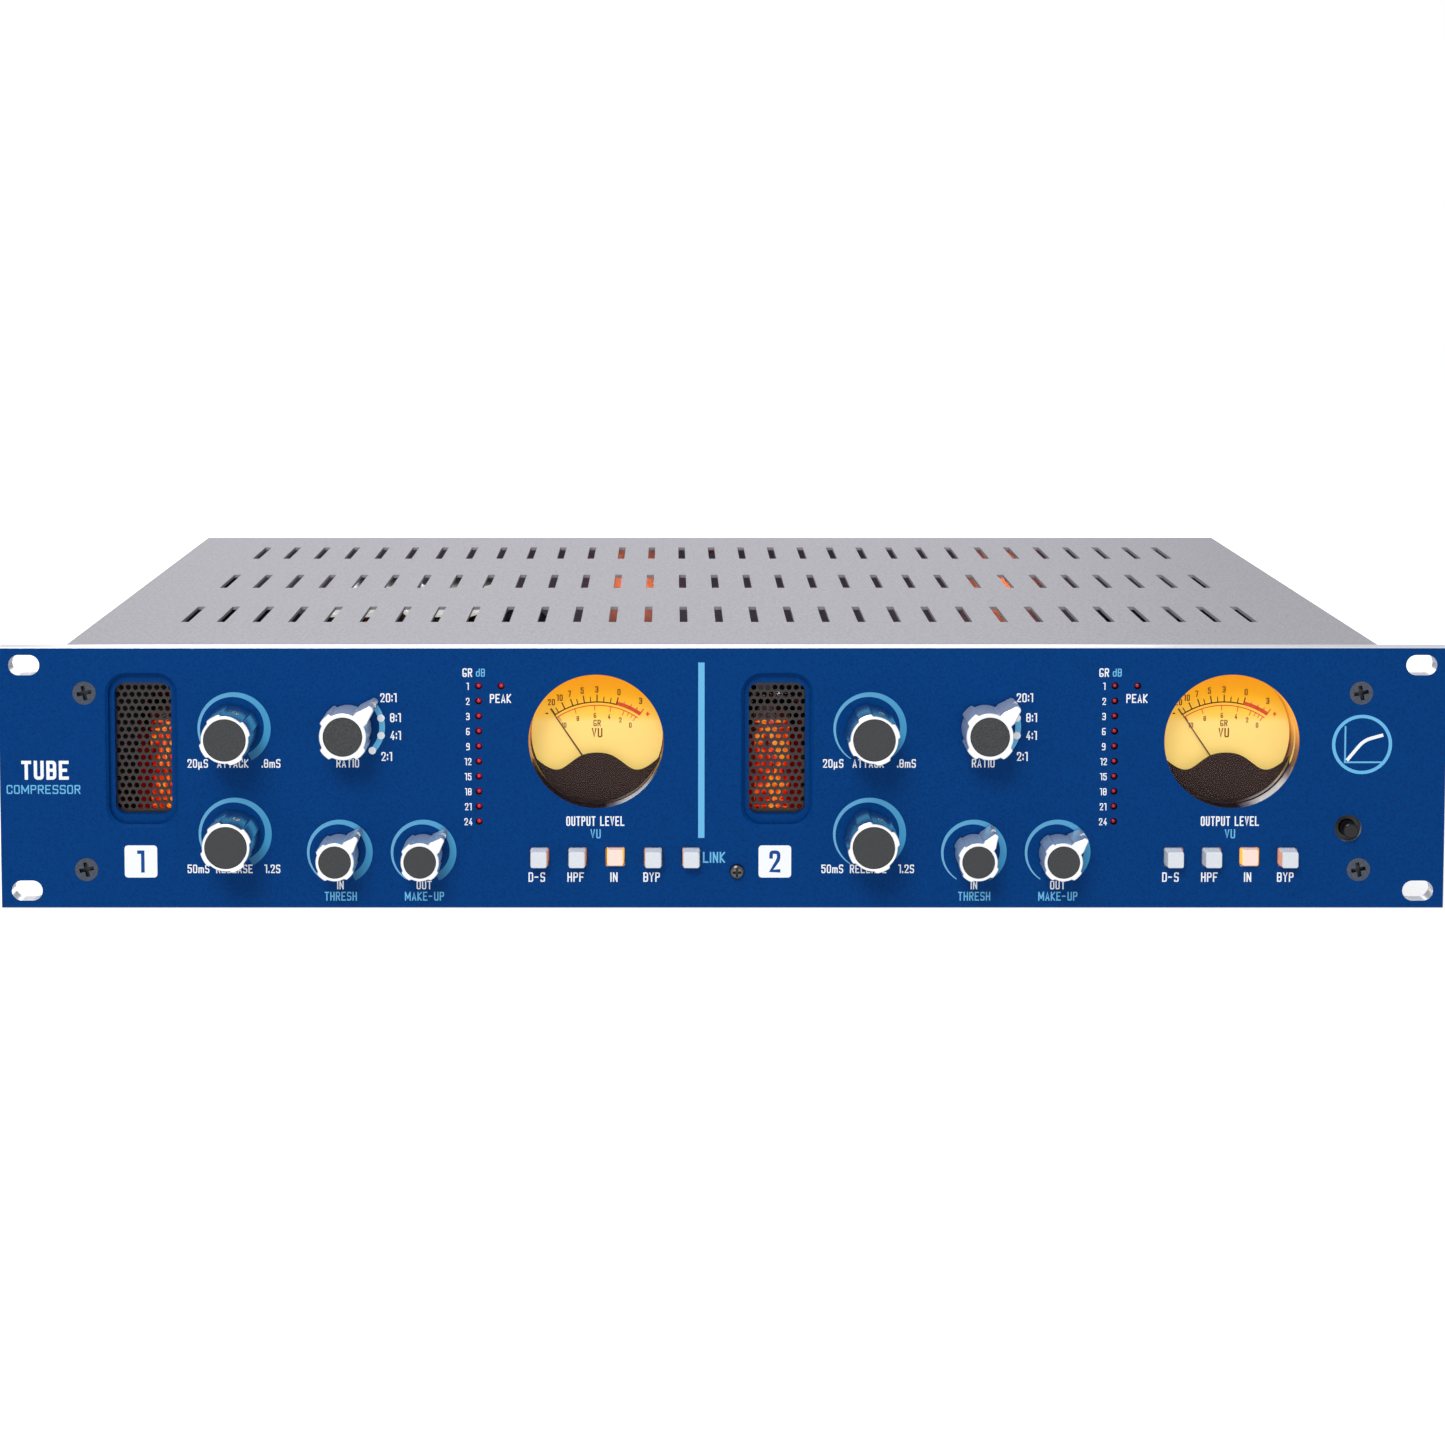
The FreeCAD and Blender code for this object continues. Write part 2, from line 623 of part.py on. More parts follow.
def knob_shell(control, x, direction):
    """Machined knob: grips, an optional pointer, a pocket for the cap and a hollow base over the nut."""
    size = control.size
    face_y = FRONT - size.height
    depth = size.height - KNOB_LIFT
    body = Part.Face(lobed_outline(size)).extrude(V(0, depth, 0))
    corners = [edge for edge in body.Edges if edge.BoundBox.YLength > depth - 0.01]
    body = body.makeFillet(LOBE_ROUND, [edge for edge in corners if not under_pointer(edge, size)])
    if size.pointer_r:
        body = fuse([body, Part.Face(pointer_outline(size)).extrude(V(0, depth, 0))])
    rim = [edge for edge in body.Edges if edge.BoundBox.YMax < 0.01]
    body = body.makeChamfer(KNOB_EDGE, rim)
    body.translate(V(0, face_y, 0))
    reach = size.pointer_r or size.lobe_r
    cuts = [
        rod(0, 0, size.cap_r + CAP_GAP, face_y - 1, face_y + CAP_POCKET),
        rod(0, 0, HOLLOW_R, HOLLOW_END, FRONT),
        rod(0, 0, SPINDLE_R + 0.02, face_y + CAP_POCKET + SPINDLE_COVER, HOLLOW_END + 1),
        Part.makeCylinder(GRUB_R, reach, V(FLAT_R, grub_y(size), 0), ALONG_X),
    ]
    return turned_to(body.cut(cuts), direction, x, control.z)


def knob_core(control, x, direction):
    """What turns with a knob: its dark cap, the control's spindle with a flat, and the grub screw."""
    size = control.size
    face_y = FRONT - size.height
    cap = rod(0, 0, size.cap_r, face_y - CAP_PROUD, face_y + CAP_POCKET)
    rim = [edge for edge in cap.Edges if edge.BoundBox.YMax < face_y]
    cap = cap.makeChamfer(0.08, rim)
    start = face_y + CAP_POCKET + SPINDLE_COVER + 0.2
    spindle = rod(0, 0, SPINDLE_R, start, SPINDLE_END)
    spindle = spindle.cut(box(FLAT_R, SPINDLE_R + 1, start - 1, HOLLOW_END, -SPINDLE_R, SPINDLE_R))
    length = size.body_r - FLAT_R - 0.9
    grub = Part.makeCylinder(GRUB_R - 0.02, length, V(FLAT_R, grub_y(size), 0), ALONG_X)
    socket = Part.makeCylinder(0.6, length, V(FLAT_R + length - 1.2, grub_y(size), 0), ALONG_X)
    core = Part.makeCompound([cap, spindle, grub.cut(socket)])
    return turned_to(core, direction, x, control.z)


def push_button(x, latched):
    """Square translucent cap, tapered towards its face, with a stem into the switch behind it."""
    front = FRONT - BUTTON_OUT + (BUTTON_LATCH if latched else 0)
    back = front + BUTTON_L
    shoulder = front + BUTTON_TAPER_L
    face_w = BUTTON_W - 2 * BUTTON_TAPER
    face = front_outline(slab(x, BUTTON_Z, face_w, face_w, BUTTON_R, front, back))
    base = slab(x, BUTTON_Z, BUTTON_W, BUTTON_W, BUTTON_R, shoulder, back)
    cap = Part.makeLoft([face, front_outline(base)], True, True)
    rim = [edge for edge in cap.Edges if edge.BoundBox.YMax < front + 0.01]
    cap = cap.makeChamfer(0.2, rim)
    half = STEM_W / 2
    stem = box(x - half, x + half, back, back + STEM_L, BUTTON_Z - half, BUTTON_Z + half)
    return fuse([cap, base, stem])


def front_outline(block):
    """Outline of a block's flat front end."""
    front = block.BoundBox.YMin
    return [face for face in block.Faces if face.BoundBox.YMax < front + 0.01][0].OuterWire


def button_switch(x):
    """Switch body behind a push button, on the control board."""
    half = STEM_W / 2 + GAP
    body = slab(x, BUTTON_Z, SWITCH_W, SWITCH_W, 0.8, SWITCH_Y, BOARD_Y)
    return body.cut(box(x - half, x + half, SWITCH_Y - 1, BOARD_Y - 0.8, BUTTON_Z - half, BUTTON_Z + half))


def power_switch():
    """Mains switch with the dark collar that fills the panel's hole."""
    collar = rod(POWER_X, POWER_Z, POWER_HOLE_R - 0.1, FRONT + 1.2, POWER_BODY_Y + 0.5)
    end = POWER_BODY_Y + POWER_BODY_L
    body = slab(POWER_X, POWER_Z, POWER_BODY_W, POWER_BODY_W, 1.0, POWER_BODY_Y, end)
    bores = [
        rod(POWER_X, POWER_Z, POWER_R + GAP, FRONT, POWER_BODY_Y + 3),
        rod(POWER_X, POWER_Z, 1.8, POWER_BODY_Y, end - 6),
    ]
    return fuse([collar, body]).cut(bores)


def power_button():
    """Round button with a domed end and a thin plunger."""
    front = FRONT - POWER_OUT
    button = rod(POWER_X, POWER_Z, POWER_R, front, POWER_BODY_Y - 1)
    rim = [edge for edge in button.Edges if edge.BoundBox.YMax < front + 0.01]
    button = button.makeFillet(0.7, rim)
    return fuse([button, rod(POWER_X, POWER_Z, 1.5, POWER_BODY_Y - 1.5, POWER_BODY_Y + 8)])


def cross_recess(centre, outward, width, depth, turn=0):
    """Cross-shaped recess of a Phillips screw, cut inward from the middle of its head."""
    arm = 0.27 * width
    blades = []
    for length, height in ((width, arm), (arm, width)):
        blade = Part.makeBox(length, height, 2 * depth, V(-length / 2, -height / 2, -depth))
        blades.append(blade)
    cross = fuse(blades)
    cross.rotate(V(0, 0, 0), ALONG_Z, turn)
    cross.Placement = FreeCAD.Placement(centre, FreeCAD.Rotation(ALONG_Z, outward)).multiply(cross.Placement)
    return cross


def flat_screw(x, z):
    """Countersunk screw of the front panel."""
    head_y = FRONT + 0.1
    head_d = PANEL_SCREW_HEAD_R - PANEL_SCREW_R
    head = Part.makeCone(PANEL_SCREW_HEAD_R, PANEL_SCREW_R, head_d, V(x, head_y, z), ALONG_Y)
    shank = rod(x, z, PANEL_SCREW_R, head_y + head_d - 0.2, 6.0)
    recess = cross_recess(V(x, head_y, z), V(0, -1, 0), 4.9, 1.6, PANEL_SCREW_TURN)
    return fuse([head, shank]).cut(recess)


def round_screw(face, outward, head_r, shank_r, length):
    """Pan-head screw: face is the middle of the surface that it clamps, outward points out of the head."""
    rise = SCREW_HEAD_T * head_r / SCREW_HEAD_R
    head = Part.makeCylinder(head_r, rise, face, outward)
    top = face + outward * rise
    rim = [edge for edge in head.Edges if (edge.CenterOfMass - top).Length < 0.1]
    head = head.makeFillet(0.75 * rise, rim)
    shank = Part.makeCylinder(shank_r, length + 0.2, face + outward * 0.2, outward * -1)
    return fuse([head, shank]).cut(cross_recess(top, outward, 1.2 * head_r, 0.5 * rise))


def xlr_screws():
    """The two fixing screws of an XLR flange, as offsets from its middle."""
    return ((-XLR_SCREW_DX, XLR_SCREW_DZ), (XLR_SCREW_DX, -XLR_SCREW_DZ))


def case_screws():
    """All pan-head screws: the panel's centre screw, the cover's, the rear panel's and the connectors'."""
    back = ALONG_Y
    screws = []
    for side in (-1, 1):
        out = V(side, 0, 0)
        for y in COVER_SCREW_YS:
            screws.append(round_screw(V(side * CASE_W / 2, y, COVER_SCREW_Z), out, SCREW_HEAD_R, SCREW_R, SCREW_L))
        for z in (-REAR_SCREW_Z, REAR_SCREW_Z):
            screws.append(round_screw(V(side * REAR_SCREW_X, REAR_OUT, z), back, SCREW_HEAD_R, SCREW_R, SCREW_L))
        place = V(MAINS_X + side * MAINS_SCREW_DX, CONNECTOR_FACE, 0)
        screws.append(round_screw(place, back, SCREW_HEAD_R, SCREW_R, SCREW_L))
    for x in REAR_LIP_SCREW_XS:
        place = V(x, CASE_DEPTH, REAR_LIP_SCREW_Z)
        screws.append(round_screw(place, back, SCREW_HEAD_R, SCREW_R, SCREW_L))
    for x in XLR_INPUT_XS + XLR_OUTPUT_XS:
        for dx, z in xlr_screws():
            place = V(x + dx, CONNECTOR_FACE, z)
            screws.append(round_screw(place, back, SCREW_HEAD_R, SCREW_R, SCREW_L))
    place = V(CENTRE_SCREW_X, FRONT, CENTRE_SCREW_Z)
    screws.append(round_screw(place, V(0, -1, 0), SCREW_HEAD_R, SMALL_SCREW_R - 0.05, 8.0))
    return screws


def xlr_flange(x):
    """Rectangular flange and round body shared by both kinds of XLR socket."""
    flange = slab(x, 0, XLR_FLANGE_W, XLR_FLANGE_H, 2.0, REAR_OUT, CONNECTOR_FACE)
    body = rod(x, 0, XLR_BODY_R, CONNECTOR_FACE - XLR_BODY_L, REAR_OUT + 0.5)
    holes = [rod(x + dx, z, SCREW_HOLE_R, REAR_OUT - 1, CONNECTOR_FACE + 1) for dx, z in xlr_screws()]
    return fuse([flange, body]).cut(holes)


def xlr_pins(x, radius, y0, y1):
    """Three round bars on the contact circle, for pins or for their holes."""
    places = [polar(XLR_PIN_CIRCLE, angle) for angle in XLR_PIN_ANGLES]
    return [rod(x + p.x, p.z, radius, y0, y1) for p in places]


def xlr_output(x):
    """Male socket: an open cup with three pins."""
    floor_y = CONNECTOR_FACE - XLR_CUP_D
    shell = xlr_flange(x).cut(rod(x, 0, XLR_CUP_R, floor_y, CONNECTOR_FACE + 1))
    return [shell] + xlr_pins(x, XLR_PIN_R, floor_y, CONNECTOR_FACE - PIN_RECESS)


def xlr_input(x):
    """Female socket: a groove for the plug's shell round an insert with three holes, and a latch housing."""
    depth_y = CONNECTOR_FACE - 12
    latch_y = CONNECTOR_FACE - LATCH_L - LATCH_TRAVEL
    housing = box(x - 4.9, x + 4.9, latch_y, REAR_OUT, 0, LATCH_Z1 + 0.7)
    groove = rod(x, 0, XLR_CUP_R + 0.2, depth_y, CONNECTOR_FACE + 1)
    groove = groove.cut(rod(x, 0, XLR_GROOVE_R, depth_y - 1, CONNECTOR_FACE + 2))
    half = LATCH_W / 2 + GAP
    slot = box(x - half, x + half, latch_y + 1, CONNECTOR_FACE + 1, LATCH_Z0 - GAP, LATCH_Z1 + GAP)
    return fuse([xlr_flange(x), housing]).cut([groove, slot] + xlr_pins(x, XLR_PIN_R, depth_y, CONNECTOR_FACE + 1))


def xlr_latch(x):
    """Push tab that frees the plug from a female socket."""
    y0 = CONNECTOR_FACE + LATCH_OUT - LATCH_L
    tab = box(x - LATCH_W / 2, x + LATCH_W / 2, y0, CONNECTOR_FACE + LATCH_OUT, LATCH_Z0, LATCH_Z1)
    rim = [edge for edge in tab.Edges if edge.BoundBox.YMin > CONNECTOR_FACE + LATCH_OUT - 0.01]
    return tab.makeFillet(0.6, rim)


def mains_outline(width, height, y0, y1):
    """Block with its two upper edges along Y cut off, as a mains plug is keyed."""
    block = box(MAINS_X - width / 2, MAINS_X + width / 2, y0, y1, -height / 2, height / 2)
    keyed = [e for e in block.Edges if e.BoundBox.YLength > 1 and e.BoundBox.ZMin > height / 2 - 0.01]
    return block.makeChamfer(MAINS_CORNER, keyed)


def mains_inlet():
    """Three-pin inlet: flange, hollow body and blades."""
    floor_y = CONNECTOR_FACE - MAINS_CUP_D
    flange = slab(MAINS_X, 0, MAINS_FLANGE_W, MAINS_FLANGE_H, 4.0, REAR_OUT, CONNECTOR_FACE)
    body = slab(MAINS_X, 0, MAINS_BODY_W, MAINS_BODY_H, 0.8, CONNECTOR_FACE - MAINS_BODY_L, REAR_OUT + 0.5)
    cuts = [mains_outline(MAINS_CUP_W, MAINS_CUP_H, floor_y, CONNECTOR_FACE + 1)]
    for dx in (-MAINS_SCREW_DX, MAINS_SCREW_DX):
        cuts.append(rod(MAINS_X + dx, 0, SCREW_HOLE_R, REAR_OUT - 1, CONNECTOR_FACE + 1))
    blades = []
    for dx, z in ((-7.0, -2.0), (0.0, 2.0), (7.0, -2.0)):
        x = MAINS_X + dx
        blades.append(box(x - 1, x + 1, floor_y, CONNECTOR_FACE - PIN_RECESS, z - 2, z + 2))
    return [fuse([flange, body]).cut(cuts)] + blades


def tube_places():
    """Foot of each valve: one behind each window and two further back."""
    places = [(WINDOW_X + dx, TUBE_FRONT_Y) for dx in CHANNELS]
    return places + [(x, TUBE_BACK_Y) for x in TUBE_BACK_XS]


def bottle(x, y, radius, z0, shoulder, top):
    """Turned form of a valve's glass: a straight side, a round shoulder and a small tip."""
    tip_r = 0.16 * radius
    bend = V(0.8 * radius, 0, shoulder + 0.42 * (top - shoulder))
    neck = V(tip_r, 0, shoulder + 0.72 * (top - shoulder))
    corner = V(radius, 0, shoulder)
    edges = [
        Part.makeLine(V(0, 0, z0), V(radius, 0, z0)),
        Part.makeLine(V(radius, 0, z0), corner),
        Part.Arc(corner, bend, neck).toShape(),
        Part.makeLine(neck, V(0, 0, top)),
        Part.makeLine(V(0, 0, top), V(0, 0, z0)),
    ]
    turned = Part.Face(Part.Wire(edges)).revolve(ORIGIN, ALONG_Z, 360)
    turned.translate(V(x, y, 0))
    return turned


def vacuum_tube(x, y):
    """Glass bottle with its anode box, held between two mica discs on four rods."""
    z0 = BOARD_TOP + SOCKET_H
    shoulder = z0 + TUBE_SHOULDER
    top = z0 + TUBE_H
    glass = bottle(x, y, TUBE_R, z0, shoulder, top)
    hollow = bottle(x, y, TUBE_R - TUBE_WALL, z0 + 2, shoulder, top - 2 * TUBE_WALL)
    low = z0 + 8
    high = z0 + 35
    cage = [post(x, y, TUBE_R - TUBE_WALL - 0.4, z, z + 0.5) for z in (low, high)]
    for dx in (-3.4, 3.4):
        cage.append(box(x + dx - 2.6, x + dx + 2.6, y - 3.5, y + 3.5, low + 2, high - 2))
    for dx in (-6.8, 6.8):
        cage.append(post(x + dx, y, 0.6, z0 + 2, high + 1))
    cage.append(box(x - 0.9, x + 0.9, y - 1.2, y + 1.2, low - 3, high + 2))
    return [glass.cut(hollow), fuse(cage)]


def tube_socket(x, y):
    """Round socket with nine contact holes hidden under the glass."""
    socket = post(x, y, SOCKET_R, BOARD_TOP, BOARD_TOP + SOCKET_H)
    rim = [edge for edge in socket.Edges if edge.BoundBox.ZMin > BOARD_TOP + SOCKET_H - 0.01]
    return socket.makeFillet(0.8, rim)


def rounded_post(x, y, radius, z0, z1, rounding):
    """Upright cylinder with a rounded upper edge."""
    shape = post(x, y, radius, z0, z1)
    rim = [edge for edge in shape.Edges if edge.BoundBox.ZMin > z1 - 0.01]
    return shape.makeFillet(rounding, rim)


def power_transformer():
    """Ring transformer with its clamping dish and centre bolt."""
    top = FLOOR + TOROID_H
    ring = post(TOROID_X, TOROID_Y, TOROID_R, FLOOR, top)
    ring = ring.cut(post(TOROID_X, TOROID_Y, TOROID_HOLE_R, FLOOR - 1, top + 1))
    rims = [edge for edge in ring.Edges if edge.BoundBox.ZLength < 0.1]
    ring = ring.makeFillet(TOROID_ROUND, rims)
    dish = post(TOROID_X, TOROID_Y, 24.0, top, top + 1.5)
    dish = dish.cut(post(TOROID_X, TOROID_Y, 3.2, top - 1, top + 3))
    bolt = fuse([
        post(TOROID_X, TOROID_Y, 3.0, FLOOR, top + 2),
        post(TOROID_X, TOROID_Y, 5.5, top + 1.5, top + 5.0),
    ])
    return [ring, dish, bolt]


def standoffs():
    """Hexagonal pillars between the floor and the main board."""
    pillars = []
    xs = (MAIN_BOARD_X0 + STANDOFF_INSET, -70.0, 65.0, MAIN_BOARD_X1 - STANDOFF_INSET)
    for x in xs:
        for y in (MAIN_BOARD_Y0 + STANDOFF_INSET, MAIN_BOARD_Y1 - STANDOFF_INSET):
            pillar = hexagon(0, 0, STANDOFF_FLATS, 0, MAIN_BOARD_Z - FLOOR)
            pillar.rotate(ORIGIN, ALONG_X, 90)
            pillar.translate(V(x, y, FLOOR))
            pillars.append(pillar)
    return pillars


def save_case():
    """Everything that the case and the front panel are made of."""
    save("front_panel", [front_panel()])
    save("chassis_tray", [chassis_tray()])
    save("top_cover", [top_cover()])
    save("rear_panel", [rear_panel()])
    save("window_grilles", [window_grille(dx) for dx in CHANNELS])
    screws = [flat_screw(x, z) for x in (-PANEL_SCREW_X, PANEL_SCREW_X) for z in PANEL_SCREW_ZS]
    save("panel_screws", screws)
    save("case_screws", case_screws())


def save_meters():
    """The two level meters, with a needle node each."""
    save("meter_housings", [meter_housing(dx) for dx in CHANNELS])
    save("meter_dials", [meter_dial(dx) for dx in CHANNELS])
    save("meter_masks", [meter_mask(dx) for dx in CHANNELS])
    save("meter_lenses", [rod(METER_X + dx, METER_Z, LENS_R, LENS_Y, LENS_Y + LENS_T) for dx in CHANNELS])
    for number, dx in enumerate(CHANNELS, start=1):
        save("meter_needle_%d" % number, [meter_needle(dx)])


def save_controls():
    """Lamps, buttons, switches, rotary controls and knobs."""
    save("led_lenses", [led(x, z) for x, z in led_places()])
    save("control_boards", [control_board(0, -3.0), control_board(CHANNEL_PITCH, 197.0)])
    save("rotary_controls", [rotary_control(control, x) for control, number, x, direction in control_places()])
    save("control_nuts", [control_nut(control, x) for control, number, x, direction in control_places()])
    save("switch_bodies", [button_switch(x) for name, x, latched in button_places()] + [power_switch()])
    save("power_button", [power_button()])
    for name, x, latched in button_places():
        save(name, [push_button(x, latched)])
    for control, number, x, direction in control_places():
        name = "%s_knob_%d" % (control.name, number)
        save(name, [knob_shell(control, x, direction)])
        save(name + "_cap_and_spindle", [knob_core(control, x, direction)])


def save_rear():
    """Connectors on the rear panel."""
    save("mains_inlet", mains_inlet())
    save("xlr_inputs", [xlr_input(x) for x in XLR_INPUT_XS])
    save("xlr_outputs", [solid for x in XLR_OUTPUT_XS for solid in xlr_output(x)])
    for number, x in enumerate(XLR_INPUT_XS, start=1):
        save("xlr_latch_%d" % number, [xlr_latch(x)])


def save_inside():
    """The main board and the parts that stand on it or on the floor."""
    save("main_board", [box(MAIN_BOARD_X0, MAIN_BOARD_X1, MAIN_BOARD_Y0, MAIN_BOARD_Y1, MAIN_BOARD_Z, BOARD_TOP)])
    save("standoffs", standoffs())
    save("tube_sockets", [tube_socket(x, y) for x, y in tube_places()])
    save("vacuum_tubes", [solid for x, y in tube_places() for solid in vacuum_tube(x, y)])
    cans = [rounded_post(x, y, CAN_R, BOARD_TOP, CAN_TOP, 2.0) for x in CAN_XS for y in CAN_YS]
    save("audio_transformers", cans)
    xs = [CAPACITOR_X0 + CAPACITOR_PITCH * k for k in range(CAPACITORS)]
    top = BOARD_TOP + CAPACITOR_H
    save("filter_capacitors", [rounded_post(x, CAPACITOR_Y, CAPACITOR_R, BOARD_TOP, top, 1.2) for x in xs])
    save("power_transformer", power_transformer())


os.makedirs("parts", exist_ok=True)
save_case()
save_meters()
save_controls()
save_rear()
save_inside()
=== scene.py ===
import json
import math

import bpy
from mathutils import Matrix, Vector


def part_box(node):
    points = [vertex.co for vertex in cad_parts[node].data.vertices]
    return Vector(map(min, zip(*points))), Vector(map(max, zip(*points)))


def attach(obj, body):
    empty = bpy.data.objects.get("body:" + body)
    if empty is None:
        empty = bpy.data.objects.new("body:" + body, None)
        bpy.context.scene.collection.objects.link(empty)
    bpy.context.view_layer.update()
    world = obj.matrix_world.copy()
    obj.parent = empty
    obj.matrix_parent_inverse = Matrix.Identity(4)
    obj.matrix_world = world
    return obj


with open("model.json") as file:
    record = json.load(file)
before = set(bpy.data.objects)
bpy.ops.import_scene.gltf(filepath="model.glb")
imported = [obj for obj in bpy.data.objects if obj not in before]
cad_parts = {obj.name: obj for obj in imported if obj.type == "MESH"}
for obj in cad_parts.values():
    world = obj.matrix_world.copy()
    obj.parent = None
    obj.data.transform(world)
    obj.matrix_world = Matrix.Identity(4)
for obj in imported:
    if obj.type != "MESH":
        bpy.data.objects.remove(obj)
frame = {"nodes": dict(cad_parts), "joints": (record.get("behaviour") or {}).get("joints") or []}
NODES = frame["nodes"]
JOINTS = {joint["name"]: joint for joint in frame["joints"]}
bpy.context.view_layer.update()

# Drawings on the panel and the dials are in millimetres, and become metres where a mesh is made.
MM = 0.001


def linear(red, green, blue):
    """A display colour of 0 to 255 as the linear colour that shaders take."""
    parts = []
    for value in (red, green, blue):
        c = value / 255
        parts.append(c / 12.92 if c <= 0.04045 else ((c + 0.055) / 1.055) ** 2.4)
    return (*parts, 1.0)


def place(name):
    """(x, y, z) of a joint in millimetres."""
    return Vector(JOINTS[name]["pos_m"]) / MM


def knob(name, number):
    """(x, y, z) of a knob's joint in millimetres."""
    return place("%s_knob_%d_turn" % (name, number))


def low(node):
    """Lowest corner of a node in millimetres."""
    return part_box(node)[0] / MM


def high(node):
    """Highest corner of a node in millimetres."""
    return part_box(node)[1] / MM


# Places taken from the CAD, in millimetres.
FRONT = low("front_panel").y
PIVOTS = [place("meter_needle_1_swing"), place("meter_needle_2_swing")]
PITCH = PIVOTS[1].x - PIVOTS[0].x
CHANNELS = (0.0, PITCH)
METER_X = PIVOTS[0].x
METER_Z = (low("meter_lenses").z + high("meter_lenses").z) / 2
PIVOT_DROP = METER_Z - PIVOTS[0].z
LED_HOLDER_R = 1.5
LED_X = low("led_lenses").x + LED_HOLDER_R
LED_TOP_Z = high("led_lenses").z - LED_HOLDER_R
LED_PITCH = 5.08
LED_NUMBERS = "1 2 3 6 9 12 15 18 21 24".split()
WINDOW_X = (low("window_grilles").x + high("window_grilles").x - PITCH) / 2
BUTTON_Z = (low("link_button").z + high("link_button").z) / 2
CAGE_REACH = 9.3
CAGE_BOTTOM = 2.2
CAGE_TOP = 37.0

# Thickness of the print on the panel and on the dials.
PRINT_T = 0.04
DIAL_PRINT_T = 0.03
# Strokes that cross lie in slightly different layers, so that no two surfaces coincide.
LAYER = 0.004
LAYERS = 4
# Limit on how far a sharp corner of a stroke runs out, as the cosine of half its turn.
SHARPEST = 0.72


# ---- materials


def principled(name, colour, roughness, metallic=0.0, specular=0.5):
    """A material with one Principled shader; returns the material and its shader node."""
    made = bpy.data.materials.new(name)
    made.use_nodes = True
    shader = made.node_tree.nodes["Principled BSDF"]
    shader.inputs["Base Color"].default_value = colour
    shader.inputs["Roughness"].default_value = roughness
    shader.inputs["Metallic"].default_value = metallic
    shader.inputs["Specular IOR Level"].default_value = specular
    return made, shader


def noise(made, scale, detail=3.0, stretch=(1.0, 1.0, 1.0)):
    """A noise texture in the piece's own coordinates; scale is features per metre."""
    tree = made.node_tree
    coordinates = tree.nodes.new("ShaderNodeTexCoord")
    mapping = tree.nodes.new("ShaderNodeMapping")
    mapping.inputs["Scale"].default_value = stretch
    texture = tree.nodes.new("ShaderNodeTexNoise")
    texture.inputs["Scale"].default_value = scale
    texture.inputs["Detail"].default_value = detail
    tree.links.new(coordinates.outputs["Object"], mapping.inputs["Vector"])
    tree.links.new(mapping.outputs["Vector"], texture.inputs["Vector"])
    return texture.outputs["Fac"]


def compute(tree, kind, operation, *values):
    """A Math or VectorMath node; each value is a constant or another node's output."""
    node = tree.nodes.new("ShaderNode" + kind)
    node.operation = operation
    for socket, value in zip(node.inputs, values):
        if isinstance(value, bpy.types.NodeSocket):
            tree.links.new(value, socket)
        else:
            socket.default_value = value
    return node


def own_axes(tree):
    """The piece's own X, Y and Z in metres."""
    coordinates = tree.nodes.new("ShaderNodeTexCoord")
    split = tree.nodes.new("ShaderNodeSeparateXYZ")
    tree.links.new(coordinates.outputs["Object"], split.inputs["Vector"])
    return split.outputs


def ramp(made, factor, stops, target):
    """Turns a factor into a colour between (position, colour) stops, for a shader's socket."""
    tree = made.node_tree
    node = tree.nodes.new("ShaderNodeValToRGB")
    elements = node.color_ramp.elements
    while len(elements) < len(stops):
        elements.new(0.5)
    for element, (position, colour) in zip(elements, stops):
        element.position = position
        element.color = colour
    tree.links.new(factor, node.inputs["Fac"])
    tree.links.new(node.outputs["Color"], target)


def bump(made, shader, factor, strength, distance):
    """Raises the surface by a factor; distance is in metres."""
    node = made.node_tree.nodes.new("ShaderNodeBump")
    node.inputs["Strength"].default_value = strength
    node.inputs["Distance"].default_value = distance
    made.node_tree.links.new(factor, node.inputs["Height"])
    made.node_tree.links.new(node.outputs["Normal"], shader.inputs["Normal"])


def spread(made, shader, factor, lowest, highest):
    """Varies the roughness between two values."""
    node = made.node_tree.nodes.new("ShaderNodeMapRange")
    node.inputs["To Min"].default_value = lowest
    node.inputs["To Max"].default_value = highest
    made.node_tree.links.new(factor, node.inputs["Value"])
    made.node_tree.links.new(node.outputs["Result"], shader.inputs["Roughness"])


def shade(colour, gain):
    """The same colour, lighter or darker."""
    return (*[min(1.0, c * gain) for c in colour[:3]], 1.0)


EVEN = (1.0, 1.0, 1.0)
GLOSS_CHANGE = 0.06
LEAST_ROUGH = 0.02
GRAIN_RELIEF = 0.6


def mottled(
    name, colour, roughness, scale, contrast, height, metallic=0.0, specular=0.5, stretch=EVEN
):
    """A surface with fine grain in colour, gloss and relief; the height is in millimetres."""
    made, shader = principled(name, colour, roughness, metallic, specular)
    grain = noise(made, scale, stretch=stretch)
    stops = [(0.30, shade(colour, 1 - contrast)), (0.70, shade(colour, 1 + contrast))]
    ramp(made, grain, stops, shader.inputs["Base Color"])
    smoothest = max(LEAST_ROUGH, roughness - GLOSS_CHANGE)
    spread(made, shader, grain, smoothest, roughness + GLOSS_CHANGE)
    bump(made, shader, grain, GRAIN_RELIEF, height * MM)
    return made


def lit_up(made, colour, strength):
    """Adds light of its own to a material with a Principled shader."""
    shader = made.node_tree.nodes["Principled BSDF"]
    shader.inputs["Emission Color"].default_value = colour
    shader.inputs["Emission Strength"].default_value = strength


MIRROR_ROUGHNESS = 0.03


